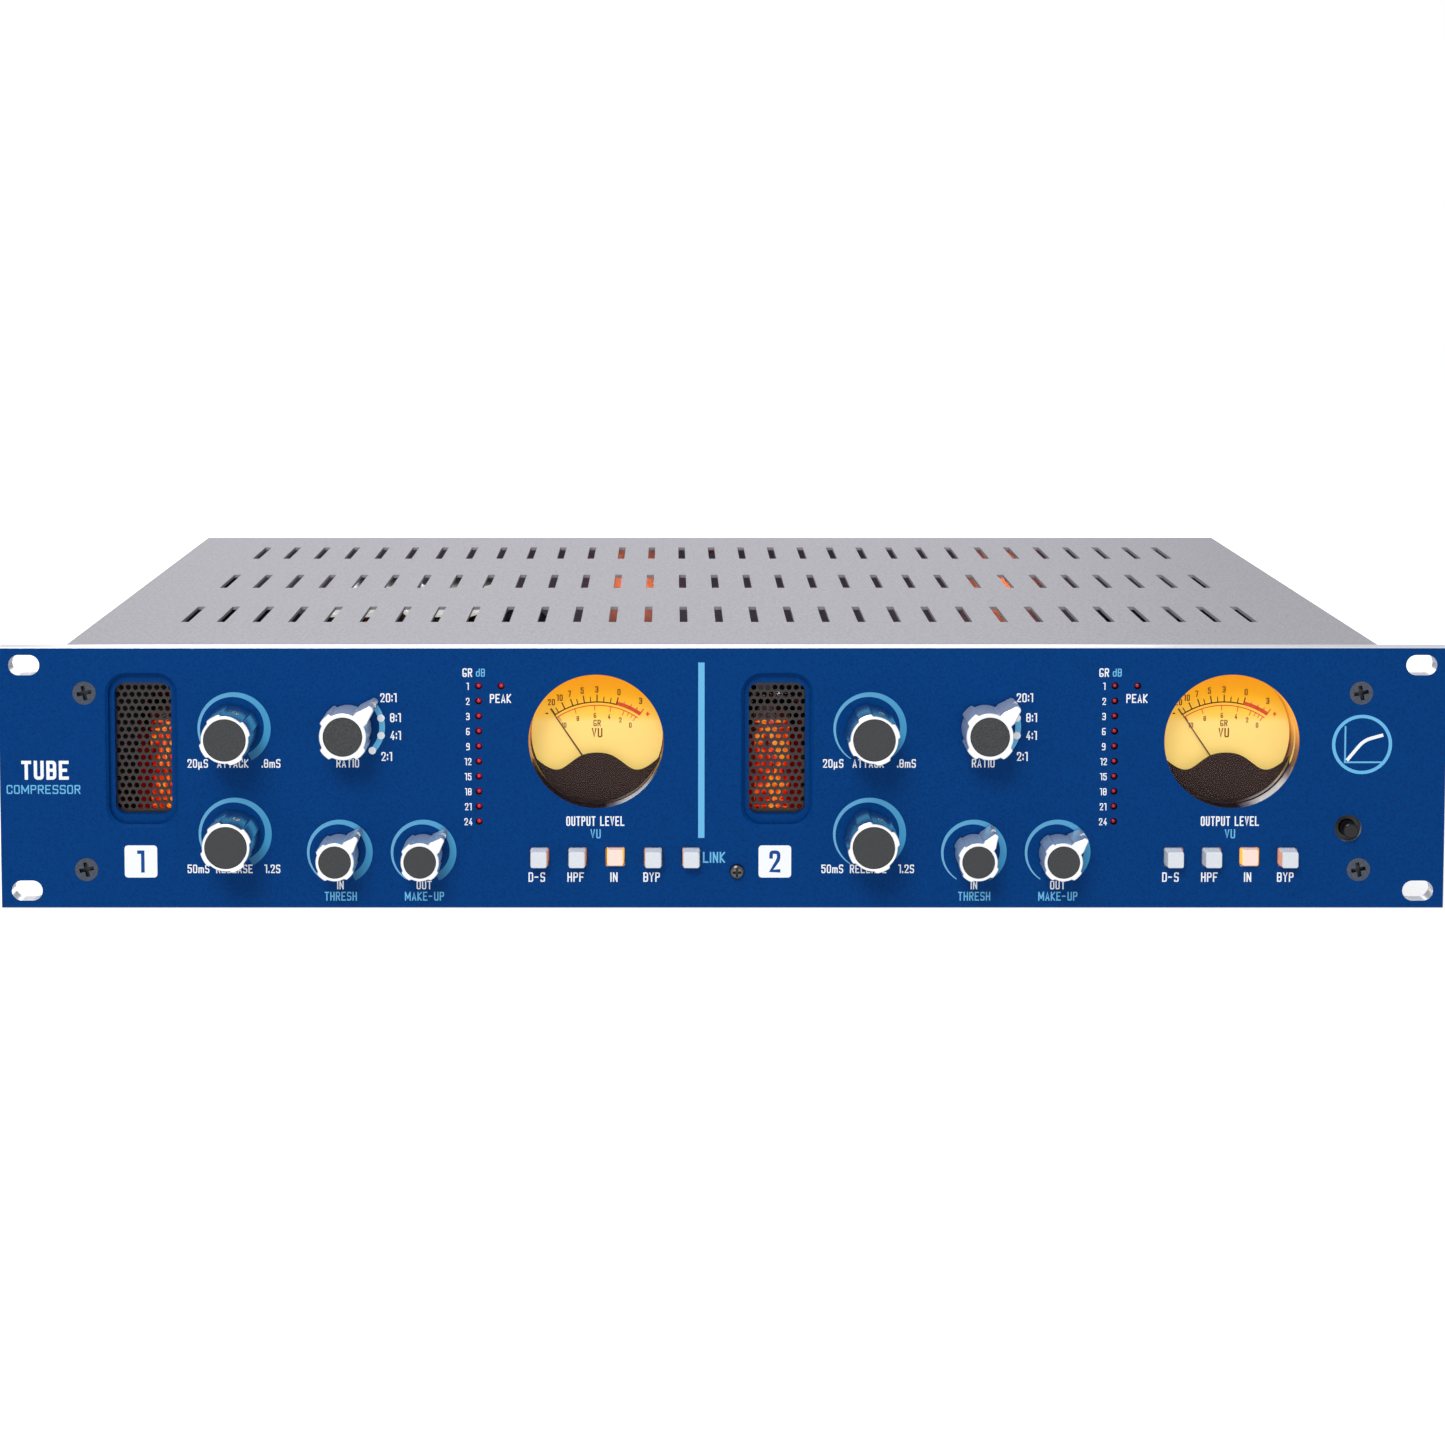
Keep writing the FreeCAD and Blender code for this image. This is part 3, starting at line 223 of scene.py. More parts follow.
def clear(name, tint, gloss):
    """Thin clear sheet: see-through, with a reflection that grows towards its edge."""
    made = bpy.data.materials.new(name)
    made.use_nodes = True
    tree = made.node_tree
    tree.nodes.remove(tree.nodes["Principled BSDF"])
    through = tree.nodes.new("ShaderNodeBsdfTransparent")
    through.inputs["Color"].default_value = tint
    mirror = tree.nodes.new("ShaderNodeBsdfGlossy")
    mirror.inputs["Roughness"].default_value = MIRROR_ROUGHNESS
    edge = tree.nodes.new("ShaderNodeFresnel")
    edge.inputs["IOR"].default_value = gloss
    mixed = tree.nodes.new("ShaderNodeMixShader")
    tree.links.new(edge.outputs["Fac"], mixed.inputs["Fac"])
    tree.links.new(through.outputs["BSDF"], mixed.inputs[1])
    tree.links.new(mirror.outputs["BSDF"], mixed.inputs[2])
    tree.links.new(mixed.outputs["Shader"], tree.nodes["Material Output"].inputs["Surface"])
    return made


BLUE = linear(0, 56, 118)
LIGHT_BLUE = linear(102, 180, 222)
WHITE = linear(240, 242, 246)
PURE_WHITE = (1.0, 1.0, 1.0, 1.0)
BLACK = (0.0, 0.0, 0.0, 1.0)


def panel_paint():
    """Satin blue paint with a fine, slightly uneven grain."""
    made, shader = principled("panel_paint", BLUE, 0.5, specular=0.05)
    fine = noise(made, 1400, 4.0)
    stops = [(0.25, linear(0, 48, 104)), (0.50, BLUE), (0.75, linear(0, 61, 124))]
    ramp(made, fine, stops, shader.inputs["Base Color"])
    spread(made, shader, fine, 0.42, 0.60)
    bump(made, shader, noise(made, 2600, 2.0), 0.35, 0.03 * MM)
    return made


def height_over(made, start, end):
    """0 to 1 between two heights in millimetres."""
    tree = made.node_tree
    height = tree.nodes.new("ShaderNodeMapRange")
    height.inputs["From Min"].default_value = start * MM
    height.inputs["From Max"].default_value = end * MM
    tree.links.new(own_axes(tree)["Z"], height.inputs["Value"])
    return height.outputs["Result"]


DIAL_R = 22.0


def dial_face():
    """Amber dial with the meter lamp's light from above painted in, in its colour and its glow:
    deep orange at the top and pale in the middle.
    """
    made, shader = principled("dial_face", linear(253, 215, 130), 0.6, specular=0.08)
    height = height_over(made, METER_Z - DIAL_R, METER_Z + DIAL_R)
    # Base colour by height: painted lamp light and shade.
    painted_dial_light = [
        (0.16, linear(190, 184, 184)),
        (0.23, linear(208, 174, 112)),
        (0.59, linear(212, 179, 114)),
        (0.64, linear(212, 162, 72)),
        (0.80, linear(204, 136, 22)),
        (1.0, linear(186, 100, 2)),
    ]
    # Glow by height: the meter lamp's light, painted on.
    lamp = [
        (0.16, linear(70, 66, 68)),
        (0.23, linear(178, 156, 74)),
        (0.59, linear(172, 153, 74)),
        (0.66, linear(176, 146, 40)),
        (0.80, linear(184, 137, 6)),
        (1.0, linear(196, 126, 0)),
    ]
    ramp(made, height, painted_dial_light, shader.inputs["Base Color"])
    ramp(made, height, lamp, shader.inputs["Emission Color"])
    shader.inputs["Emission Strength"].default_value = 1.0
    return made


# Angle of the painted highlight streak round a meter's middle, in degrees from straight right.
PAINTED_HIGHLIGHT_ANGLE = -52.0
# Heights from a meter's middle between which the painted amber light fades in.
RIM_DARK_TO = -10.0
RIM_LIT_FROM = 4.0


def meter_rim():
    """Clear plastic round a dial, with painted light: an amber glow above, and painted shade below
    with one painted highlight streak.
    """
    made, shader = principled("meter_rim", linear(60, 48, 56), 0.14, metallic=0.30)
    tree = made.node_tree
    axes = own_axes(tree)
    ends = ((METER_X + PITCH / 2) * MM, (METER_X - PITCH / 2) * MM)
    wrapped = compute(tree, "Math", "WRAP", axes["X"], *ends)
    spot = tree.nodes.new("ShaderNodeCombineXYZ")
    tree.links.new(wrapped.outputs["Value"], spot.inputs["X"])
    tree.links.new(axes["Z"], spot.inputs["Z"])
    middle = (METER_X * MM, 0.0, METER_Z * MM)
    offset = compute(tree, "VectorMath", "SUBTRACT", spot.outputs["Vector"], middle)
    outward = compute(tree, "VectorMath", "NORMALIZE", offset.outputs["Vector"])
    turn = math.radians(PAINTED_HIGHLIGHT_ANGLE)
    to_painted_highlight = (math.cos(turn), 0.0, math.sin(turn))
    along = compute(tree, "VectorMath", "DOT_PRODUCT", outward.outputs["Vector"], to_painted_highlight)
    # Painted shade round the rim, rising to a painted highlight at the streak's angle.
    dark = linear(34, 24, 32)
    streak = [(0.86, dark), (0.93, linear(150, 140, 150)), (0.985, linear(255, 255, 255))]
    ramp(made, along.outputs["Value"], streak, shader.inputs["Base Color"])
    # Painted amber light from the lit dial, by height.
    glow = [(0.0, linear(8, 4, 6)), (0.45, linear(120, 44, 34)), (1.0, linear(244, 146, 44))]
    height = height_over(made, METER_Z + RIM_DARK_TO, METER_Z + RIM_LIT_FROM)
    ramp(made, height, glow, shader.inputs["Emission Color"])
    shader.inputs["Emission Strength"].default_value = 0.8
    return made


def tinted_print():
    """Ink whose colour is stored on the mesh, for marks whose colour changes along their length,
    with painted shade near their end.
    """
    made, shader = principled("fading_ink", LIGHT_BLUE, 0.5, specular=0.2)
    stored = made.node_tree.nodes.new("ShaderNodeAttribute")
    stored.attribute_name = "tint"
    made.node_tree.links.new(stored.outputs["Color"], shader.inputs["Base Color"])
    return made


# How much a window's cage glows brighter at its valve's axis, and darker at its sides: painted
# light and shade.
AXIS_GAIN = 0.14
SIDE_LOSS = -0.12
GLASS_TINT = (0.93, 0.92, 0.90, 1.0)
GLASS_IOR = 1.45


def from_valve_axis(tree):
    """The change of a window's cage's painted glow, from its valve's axis to its side."""
    offset = compute(tree, "Math", "SUBTRACT", own_axes(tree)["X"], WINDOW_X * MM)
    fold = compute(tree, "Math", "PINGPONG", offset.outputs["Value"], PITCH / 2 * MM)
    change = tree.nodes.new("ShaderNodeMapRange")
    change.inputs["From Max"].default_value = CAGE_REACH * MM
    change.inputs["To Min"].default_value = AXIS_GAIN
    change.inputs["To Max"].default_value = SIDE_LOSS
    tree.links.new(fold.outputs["Value"], change.inputs["Value"])
    return change.outputs["Result"]


def hot_cage(name, in_window=False):
    """Valve electrodes: dull red metal with orange and yellow patches where the heaters show, their
    light painted on the electrodes as a glow.
    """
    made, shader = principled(name, linear(60, 20, 12), 0.5, 0.3)
    tree = made.node_tree
    patches = noise(made, 300, 1.0, (1.0, 1.0, 0.7))
    if in_window:
        patches = compute(tree, "Math", "ADD", patches, from_valve_axis(tree)).outputs["Value"]
    stops = [
        (0.36, linear(56, 3, 2)),
        (0.48, linear(180, 16, 6)),
        (0.59, linear(246, 64, 12)),
        (0.70, linear(255, 160, 44)),
    ]
    ramp(made, patches, stops, shader.inputs["Emission Color"])
    shader.inputs["Emission Strength"].default_value = 0.95
    return made


def warm_glass():
    """Glass of a window's valve, whose lower part has the cage's red light painted on as a glow."""
    made = clear("warm_glass", GLASS_TINT, GLASS_IOR)
    tree = made.node_tree
    surface = tree.nodes["Material Output"].inputs["Surface"]
    light = tree.nodes.new("ShaderNodeEmission")
    light.inputs["Strength"].default_value = 0.10
    both = tree.nodes.new("ShaderNodeAddShader")
    tree.links.new(surface.links[0].from_socket, both.inputs[0])
    tree.links.new(light.outputs["Emission"], both.inputs[1])
    tree.links.new(both.outputs["Shader"], surface)
    # Painted red glow, strongest low on the glass and none at the cage's top.
    glow = [(0.0, linear(150, 10, 8)), (0.75, linear(120, 8, 6)), (1.0, BLACK)]
    bottom = low("vacuum_tubes").z
    ramp(made, height_over(made, bottom, bottom + CAGE_TOP), glow, light.inputs["Color"])
    return made


# Display colour, roughness, grain per metre, contrast of the grain and its height in millimetres,
# and for some finishes metallic and specular.
FINISHES = {
    "bare": ((236, 236, 240), 0.30, 900, 0.05, 0.010, 0.6),
    "case": ((153, 151, 156), 0.55, 1000, 0.17, 0.040, 0.0, 0.25),
    # Inside of the case: darkened as painted shade; on the rear panel lighter, with a painted fill
    # glow.
    "inside": ((52, 50, 56), 0.50, 900, 0.15, 0.020, 0.3),
    "inside_lit": ((110, 106, 114), 0.50, 900, 0.15, 0.020, 0.2),
    "grille": ((60, 56, 56), 0.36, 2600, 0.60, 0.040, 0.7),
    "dark_steel": ((74, 80, 92), 0.38, 2500, 0.30, 0.010, 0.7),
    "black_steel": ((104, 100, 100), 0.20, 1500, 0.20, 0.004, 1.0),
    "steel": ((190, 190, 196), 0.25, 1500, 0.12, 0.010, 1.0),
    "black": ((24, 24, 26), 0.45, 2200, 0.30, 0.020),
    "mask": ((50, 34, 30), 0.60, 3500, 0.30, 0.010, 0.0, 0.1),
    "needle": ((84, 40, 16), 0.50, 3000, 0.10, 0.005),
    "led": ((190, 36, 62), 0.25, 2500, 0.15, 0.005),
    "led_dim": ((168, 28, 50), 0.25, 2500, 0.15, 0.005),
    "board": ((20, 78, 48), 0.40, 700, 0.25, 0.020),
    "knob": ((250, 250, 252), 0.30, 1500, 0.02, 0.0008, 1.0),
    # Shell sides (knob_side, satin_side) tinted blue-green: a painted reflection of the blue panel.
    "knob_side": ((196, 220, 224), 0.22, 1500, 0.06, 0.0008, 1.0),
    "satin": ((250, 250, 252), 0.44, 1500, 0.02, 0.0008, 0.82),
    "satin_side": ((232, 240, 246), 0.36, 1500, 0.05, 0.0008, 0.80),
    "cap": ((61, 62, 64), 0.62, 3400, 0.55, 0.050, 0.0, 0.3),
    "button": ((214, 218, 224), 0.35, 900, 0.03, 0.010),
    "lit": ((232, 208, 196), 0.35, 900, 0.02, 0.010),
    "lit_edge": ((250, 210, 120), 0.40, 900, 0.05, 0.010),
    # Painted glow on a cap's side, for the light of a lit cap beside it.
    "lit_side": ((230, 190, 160), 0.40, 900, 0.05, 0.010),
    "power": ((8, 8, 11), 0.24, 1500, 0.20, 0.005, 0.0, 0.4),
    "ceramic": ((225, 220, 205), 0.30, 900, 0.05, 0.020),
    "nickel": ((214, 212, 208), 0.16, 600, 0.06, 0.010, 1.0),
    "sleeve": ((32, 42, 74), 0.30, 900, 0.20, 0.020),
    "tape": ((196, 128, 34), 0.35, 500, 0.20, 0.050),
    "brass": ((214, 186, 120), 0.25, 1500, 0.08, 0.010, 1.0),
    "white_ink": ((240, 242, 246), 0.50, 2500, 0.03, 0.004, 0.0, 0.2),
    "blue_ink": ((102, 180, 222), 0.50, 2500, 0.04, 0.004, 0.0, 0.2),
    "deep_ink": ((4, 66, 138), 0.50, 2500, 0.05, 0.004, 0.0, 0.2),
    "scale_ink": ((66, 38, 12), 0.60, 2500, 0.05, 0.002, 0.0, 0.1),
    "red_ink": ((204, 78, 48), 0.60, 2500, 0.05, 0.002, 0.0, 0.1),
    "brown_ink": ((122, 58, 18), 0.60, 2500, 0.05, 0.002, 0.0, 0.1),
    "dark_ink": ((30, 32, 38), 0.50, 2500, 0.05, 0.004, 0.0, 0.2),
}
STRETCHES = {"bare": (0.05, 1.0, 1.0), "tape": (1.0, 1.0, 0.2)}
# Display colour and strength of the light that a finish gives out: the lamps and lit caps have
# their own, the others are painted light.
GLOWS = {
    # Painted fill light on the inside of the rear panel.
    "inside_lit": ((62, 54, 68), 0.6),
    "led": ((220, 40, 70), 0.10),
    "lit": ((255, 205, 185), 0.13),
    "lit_edge": ((250, 170, 60), 0.5),
    "lit_side": ((240, 130, 60), 0.28),
    # The dial's red print glows with painted light from the meter lamp.
    "red_ink": ((200, 60, 36), 0.15),
}


def finishes():
    """Every material by its short name."""
    made = {
        "paint": panel_paint(),
        "dial": dial_face(),
        "rim": meter_rim(),
        "cage": hot_cage("hot_cage"),
        "window_cage": hot_cage("window_cage", in_window=True),
        "window_glass": warm_glass(),
        "fading": tinted_print(),
        "lens": clear("clear_lens", (1.0, 1.0, 1.0, 1.0), 1.16),
        "glass": clear("valve_glass", GLASS_TINT, GLASS_IOR),
    }
    for name, (colour, *rest) in FINISHES.items():
        stretch = STRETCHES.get(name, EVEN)
        made[name] = mottled(name, linear(*colour), *rest, stretch=stretch)
    for name, (colour, strength) in GLOWS.items():
        lit_up(made[name], linear(*colour), strength)
    return made


M = finishes()


def dress(node, *materials, choose=None):
    """Gives a CAD node its materials; choose(centre, normal) picks one by number for each face."""
    mesh = NODES[node].data
    mesh.materials.clear()
    for key in materials:
        mesh.materials.append(M[key])
    if choose:
        for face in mesh.polygons:
            face.material_index = int(choose(face.center / MM, face.normal))


# How far from the middle of a window its pocket's faces reach, along X and Z.
POCKET_REACH = (13.0, 27.0)
# Faces nearer than this to a meter's middle belong to its hole.
METER_HOLE_REACH = 23.5
# Reach of the lamps' holes round their column, and to the right with the peak lamp.
LED_HOLE_REACH = 2.0
PEAK_REACH = 10.0
RIM_W = 0.5


def dress_panel():
    """Blue in front and in the pockets, clear round meters with painted glow and highlight, black
    round lamps as painted shade, else bare.
    """
    corner = high("front_panel")
    window_z = (low("window_grilles").z + high("window_grilles").z) / 2
    lamps_h = (len(LED_NUMBERS) - 1) * LED_PITCH

    def choose(centre, normal):
        near_x = min(abs(centre.x - WINDOW_X - dx) for dx in CHANNELS) < POCKET_REACH[0]
        if near_x and abs(centre.z - window_z) < POCKET_REACH[1] and normal.y < 0.5:
            return 0
        in_hole = abs(normal.y) < 0.5
        to_meter = min(math.hypot(centre.x - pivot.x, centre.z - METER_Z) for pivot in PIVOTS)
        # Meter holes' walls: clear, with painted glow, shade and highlight.
        if in_hole and to_meter < METER_HOLE_REACH:
            return 2
        by_lamps = any(-LED_HOLE_REACH < centre.x - LED_X - dx < PEAK_REACH for dx in CHANNELS)
        under_top = LED_TOP_Z - centre.z
        # Lamps' holes are black: painted shade.
        if in_hole and by_lamps and -LED_HOLE_REACH < under_top < lamps_h + LED_HOLE_REACH:
            return 3
        on_rim = abs(centre.x) > corner.x - RIM_W or abs(centre.z) > corner.z - RIM_W
        return 0 if normal.y < (-0.9 if on_rim else -0.5) else 1

    dress("front_panel", "paint", "bare", "rim", "black", choose=choose)


CAP_DEPTH = 1.4


def dress_knobs():
    """Aluminium shells, duller on the pointed knobs, with grained caps and steel spindles; the
    shells' sides are tinted as a painted reflection of the blue panel.
    """
    for name in NODES:
        if name.endswith("_cap_and_spindle"):
            shell = name.replace("_cap_and_spindle", "")
            cap_end = low(shell).y + CAP_DEPTH
            metal = "knob" if shell.startswith(("attack", "release")) else "satin"
            # Sides take the tinted copy of the metal: painted reflection.
            dress(shell, metal, metal + "_side", choose=lambda centre, normal: normal.y > -0.5)
            dress(name, "cap", "steel", choose=lambda centre, normal, y=cap_end: centre.y >= y)


def lit_neighbour(name):
    """Which way along X the channel's lit button lies, as -1 or 1."""
    x = low(name).x
    lit = min((low("in_button_1").x, low("in_button_2").x), key=lambda other: abs(other - x))
    return 1 if lit > x else -1


def dress_buttons():
    """Lit caps have a warm face and glowing sides; others have a painted glow on the side towards a
    lit one, for the light it casts.
    """
    for name in NODES:
        if "_button" not in name or name == "power_button":
            continue
        if name.startswith("in_button"):
            dress(name, "lit", "lit_edge", choose=lambda centre, normal: abs(normal.x) > 0.5)
            continue

        # Faces towards the lit cap take the painted glow.
        def choose(centre, normal, side=lit_neighbour(name)):
            return normal.x * side > 0.8

        dress(name, "button", "lit_side", choose=choose)


VALVE_R = 10.5
# One of the two valves at the back stands here, and the other stands at the right end of the node.
BACK_VALVE_X = -25.0


def dress_valves():
    """Glass bottles round glowing electrodes, with warmer ones behind the windows; the glow on
    electrodes and glass is painted light.
    """
    lowest, highest = low("vacuum_tubes"), high("vacuum_tubes")
    axes = [(WINDOW_X + dx, lowest.y + VALVE_R) for dx in CHANNELS]
    axes += [(x, highest.y - VALVE_R) for x in (BACK_VALVE_X, highest.x - VALVE_R)]

    def choose(centre, normal):
        reach = min(math.hypot(centre.x - x, centre.y - y) for x, y in axes)
        caged = reach < CAGE_REACH and CAGE_BOTTOM < centre.z - lowest.z < CAGE_TOP
        in_window = centre.y < lowest.y + 2 * VALVE_R
        return caged + 2 * in_window

    dress("vacuum_tubes", "glass", "cage", "window_glass", "window_cage", choose=choose)


CONNECTOR_W = 26.0
PINS_DEPTH = 8.0
PINS_REACH = 6.5
BLADES_DEPTH = 16.9
BLADES_REACH = (8.2, 4.2)


def connector_xs(node):
    """The two middles of a pair of round connectors, in millimetres."""
    return low(node).x + CONNECTOR_W / 2, high(node).x - CONNECTOR_W / 2


def middle_x(node):
    """The middle of a node in millimetres."""
    return (low(node).x + high(node).x) / 2


def dress_rear():
    """Connectors: black shells, metal pins and blades."""
    outputs = connector_xs("xlr_outputs")
    inlet = middle_x("mains_inlet")
    pins_y = low("xlr_outputs").y + PINS_DEPTH
    blades_y = high("mains_inlet").y - BLADES_DEPTH

    def pins(centre, normal):
        axis = min(outputs, key=lambda x: abs(centre.x - x))
        return math.hypot(centre.x - axis, centre.z) < PINS_REACH and centre.y > pins_y

    def blades(centre, normal):
        inside = abs(centre.x - inlet) < BLADES_REACH[0] and abs(centre.z) < BLADES_REACH[1]
        return inside and centre.y > blades_y

    dress("xlr_outputs", "black", "brass", choose=pins)
    dress("xlr_inputs", "black")
    dress("mains_inlet", "black", "steel", choose=blades)


# A meter's bore shows down to this depth.
BORE_END = low("meter_housings").y + 20.0
COVER_SKIN = 1.1
TRAY_SKIN = 0.3


def inner_wall(centre, normal):
    """True for the part of a meter's bore that shows between the panel and the dial."""
    middle = min(PIVOTS, key=lambda pivot: abs(pivot.x - centre.x)).x
    towards = (middle - centre.x) * normal.x + (METER_Z - centre.z) * normal.z
    return towards > 0 and centre.y < BORE_END and abs(normal.y) < 0.5


def dress_case():
    """Grey paint on the outside of the sheet metal, and plated steel inside, darkened as painted
    shade; the rear panel's inside is lighter, with a painted fill glow.
    """
    tray_low, tray_high = low("chassis_tray"), high("chassis_tray")
    cover_inside = high("top_cover").z - COVER_SKIN

    def tray(centre, normal):
        sideways = min(centre.x - tray_low.x, tray_high.x - centre.x)
        return min(sideways, tray_high.y - centre.y, centre.z - tray_low.z) >= TRAY_SKIN

    def cover(centre, normal):
        return normal.z < -0.9 and centre.z < cover_inside

    dress("chassis_tray", "case", "inside", choose=tray)
    dress("top_cover", "case", "inside", choose=cover)
    dress("rear_panel", "case", "inside_lit", choose=lambda centre, normal: normal.y < -0.9)
    # The showing part of a meter's bore takes the clear finish with painted glow, shade and
    # highlight.
    dress("meter_housings", "black", "rim", choose=inner_wall)


PLAIN = {
    "window_grilles": "grille",
    "meter_dials": "dial",
    "meter_masks": "mask",
    "meter_lenses": "lens",
    "meter_needle_1": "needle",
    "meter_needle_2": "needle",
    "control_boards": "board",
    "rotary_controls": "steel",
    "control_nuts": "steel",
    "switch_bodies": "black",
    "power_button": "power",
    "xlr_latch_1": "steel",
    "xlr_latch_2": "steel",
    "main_board": "board",
    "standoffs": "brass",
    "tube_sockets": "ceramic",
    "audio_transformers": "nickel",
    "filter_capacitors": "sleeve",
    "power_transformer": "tape",
}


PANEL_SCREW_SKIN = 0.3
CASE_SCREW_SKIN = 0.2
RECESS_REACH = 1.6


def dress_screws():
    """Dark heads on the front with black recesses as painted shade, and plated screws elsewhere."""
    heads = low("panel_screws").y + PANEL_SCREW_SKIN
    # Faces behind the heads' top, the cross recesses, are black: painted shade.
    dress("panel_screws", "dark_steel", "black", choose=lambda centre, normal: centre.y > heads)
    vertices = NODES["case_screws"].data.vertices
    on_front = [vertex.co / MM for vertex in vertices if vertex.co.y < 0]
    x = sum(spot.x for spot in on_front) / len(on_front)
    z = sum(spot.z for spot in on_front) / len(on_front)
    face = low("case_screws").y + CASE_SCREW_SKIN

    def choose(centre, normal):
        if centre.y > 0:
            return 0
        # The front screw's cross recess is black: painted shade.
        in_recess = math.hypot(centre.x - x, centre.z - z) < RECESS_REACH and centre.y > face
        return 2 if in_recess else 1

    dress("case_screws", "steel", "black_steel", "black", choose=choose)


def dress_frame():
    """Every CAD node's finish."""
    for node, key in PLAIN.items():
        dress(node, key)
    second_channel = WINDOW_X + PITCH
    dress("led_lenses", "led", "led_dim", choose=lambda centre, normal: centre.x > second_channel)
    dress_screws()
    dress_case()
    dress_panel()
    dress_knobs()
    dress_buttons()
    dress_valves()
    dress_rear()


# ---- flat printed marks


def around(x, z, radius, angle):
    """The point at a radius and an angle in radians from a middle."""
    return (x + radius * math.cos(angle), z + radius * math.sin(angle))


class Marks:
    """Flat closed shapes on a plane that faces the front, or the back when facing is 1."""

    def __init__(self, name, material, surface_y, thickness=PRINT_T, facing=-1):
        self.name = name
        self.material = material
        self.back = surface_y
        self.front = surface_y + facing * thickness
        self.rise = facing * LAYER
        self.layer = 0
        self.vertices = []
        self.faces = []
        self.tints = []

    def point(self, x, z, tint):
        """One front and one back vertex; returns the number of the front one."""
        self.vertices.append((x * MM, (self.front + self.rise * self.layer) * MM, z * MM))
        self.vertices.append((x * MM, self.back * MM, z * MM))
        self.tints += [tint, tint]
        return len(self.vertices) - 2

    def polygon(self, outline):
        """A filled outline."""
        self.layer = (self.layer + 1) % LAYERS
        ids = [self.point(x, z, WHITE) for x, z in outline]
        self.faces.append(tuple(ids))
        self.faces.append(tuple(i + 1 for i in reversed(ids)))
        for a, b in zip(ids, ids[1:] + ids[:1]):
            self.faces.append((a, a + 1, b + 1, b))

    def strip(self, left, right, tints=None):
        """A band between two lines with as many points each."""
        self.layer = (self.layer + 1) % LAYERS
        tints = tints or [WHITE] * len(left)
        ls = [self.point(x, z, tint) for (x, z), tint in zip(left, tints)]
        rs = [self.point(x, z, tint) for (x, z), tint in zip(right, tints)]
        for k in range(len(ls) - 1):
            a, b, c, d = ls[k], ls[k + 1], rs[k + 1], rs[k]
            self.faces += [(a, b, c, d), (d + 1, c + 1, b + 1, a + 1)]
            self.faces += [(b, a, a + 1, b + 1), (d, c, c + 1, d + 1)]
        for a, d in ((ls[0], rs[0]), (rs[-1], ls[-1])):
            self.faces.append((a, d, d + 1, a + 1))

    def disc(self, x, z, radius, steps):
        """A filled circle."""
        turns = [2 * math.pi * k / steps for k in range(steps)]
        self.polygon([around(x, z, radius, turn) for turn in turns])

    def arc(self, x, z, inner, outer, start, end, steps, tints=None):
        """A band along a circle between two angles; inner may be a function of the way along."""
        left = []
        right = []
        for k in range(steps + 1):
            s = k / steps
            angle = math.radians(start + (end - start) * s)
            left.append(around(x, z, outer, angle))
            right.append(around(x, z, inner(s) if callable(inner) else inner, angle))
        self.strip(left, right, tints)

    def path(self, points, width):
        """A line of constant width with mitred corners."""
        half = width / 2
        left = []
        right = []
        for k, (x, z) in enumerate(points):
            before = direction(points[max(k - 1, 0)], points[max(k, 1)])
            after = direction(points[min(k, len(points) - 2)], points[min(k + 1, len(points) - 1)])
            normal = Vector((-(before.y + after.y), before.x + after.x)).normalized()
            reach = half / max(SHARPEST, normal.dot(Vector((-after.y, after.x))))
            left.append((x + normal.x * reach, z + normal.y * reach))
            right.append((x - normal.x * reach, z - normal.y * reach))
        self.strip(left, right)

    def make(self, body="case"):
        """The finished object, riding on its body."""
        mesh = bpy.data.meshes.new(self.name)
        mesh.from_pydata(self.vertices, [], self.faces)
        stored = mesh.color_attributes.new("tint", "FLOAT_COLOR", "POINT")
        for k, tint in enumerate(self.tints):
            stored.data[k].color = tint
        mesh.materials.append(M[self.material])
        mesh.validate()
        made = bpy.data.objects.new(self.name, mesh)
        bpy.context.scene.collection.objects.link(made)
        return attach(made, body)


def direction(a, b):
    """Unit vector from one point of a drawing to another."""
    return Vector((b[0] - a[0], b[1] - a[1])).normalized()


# ---- lettering

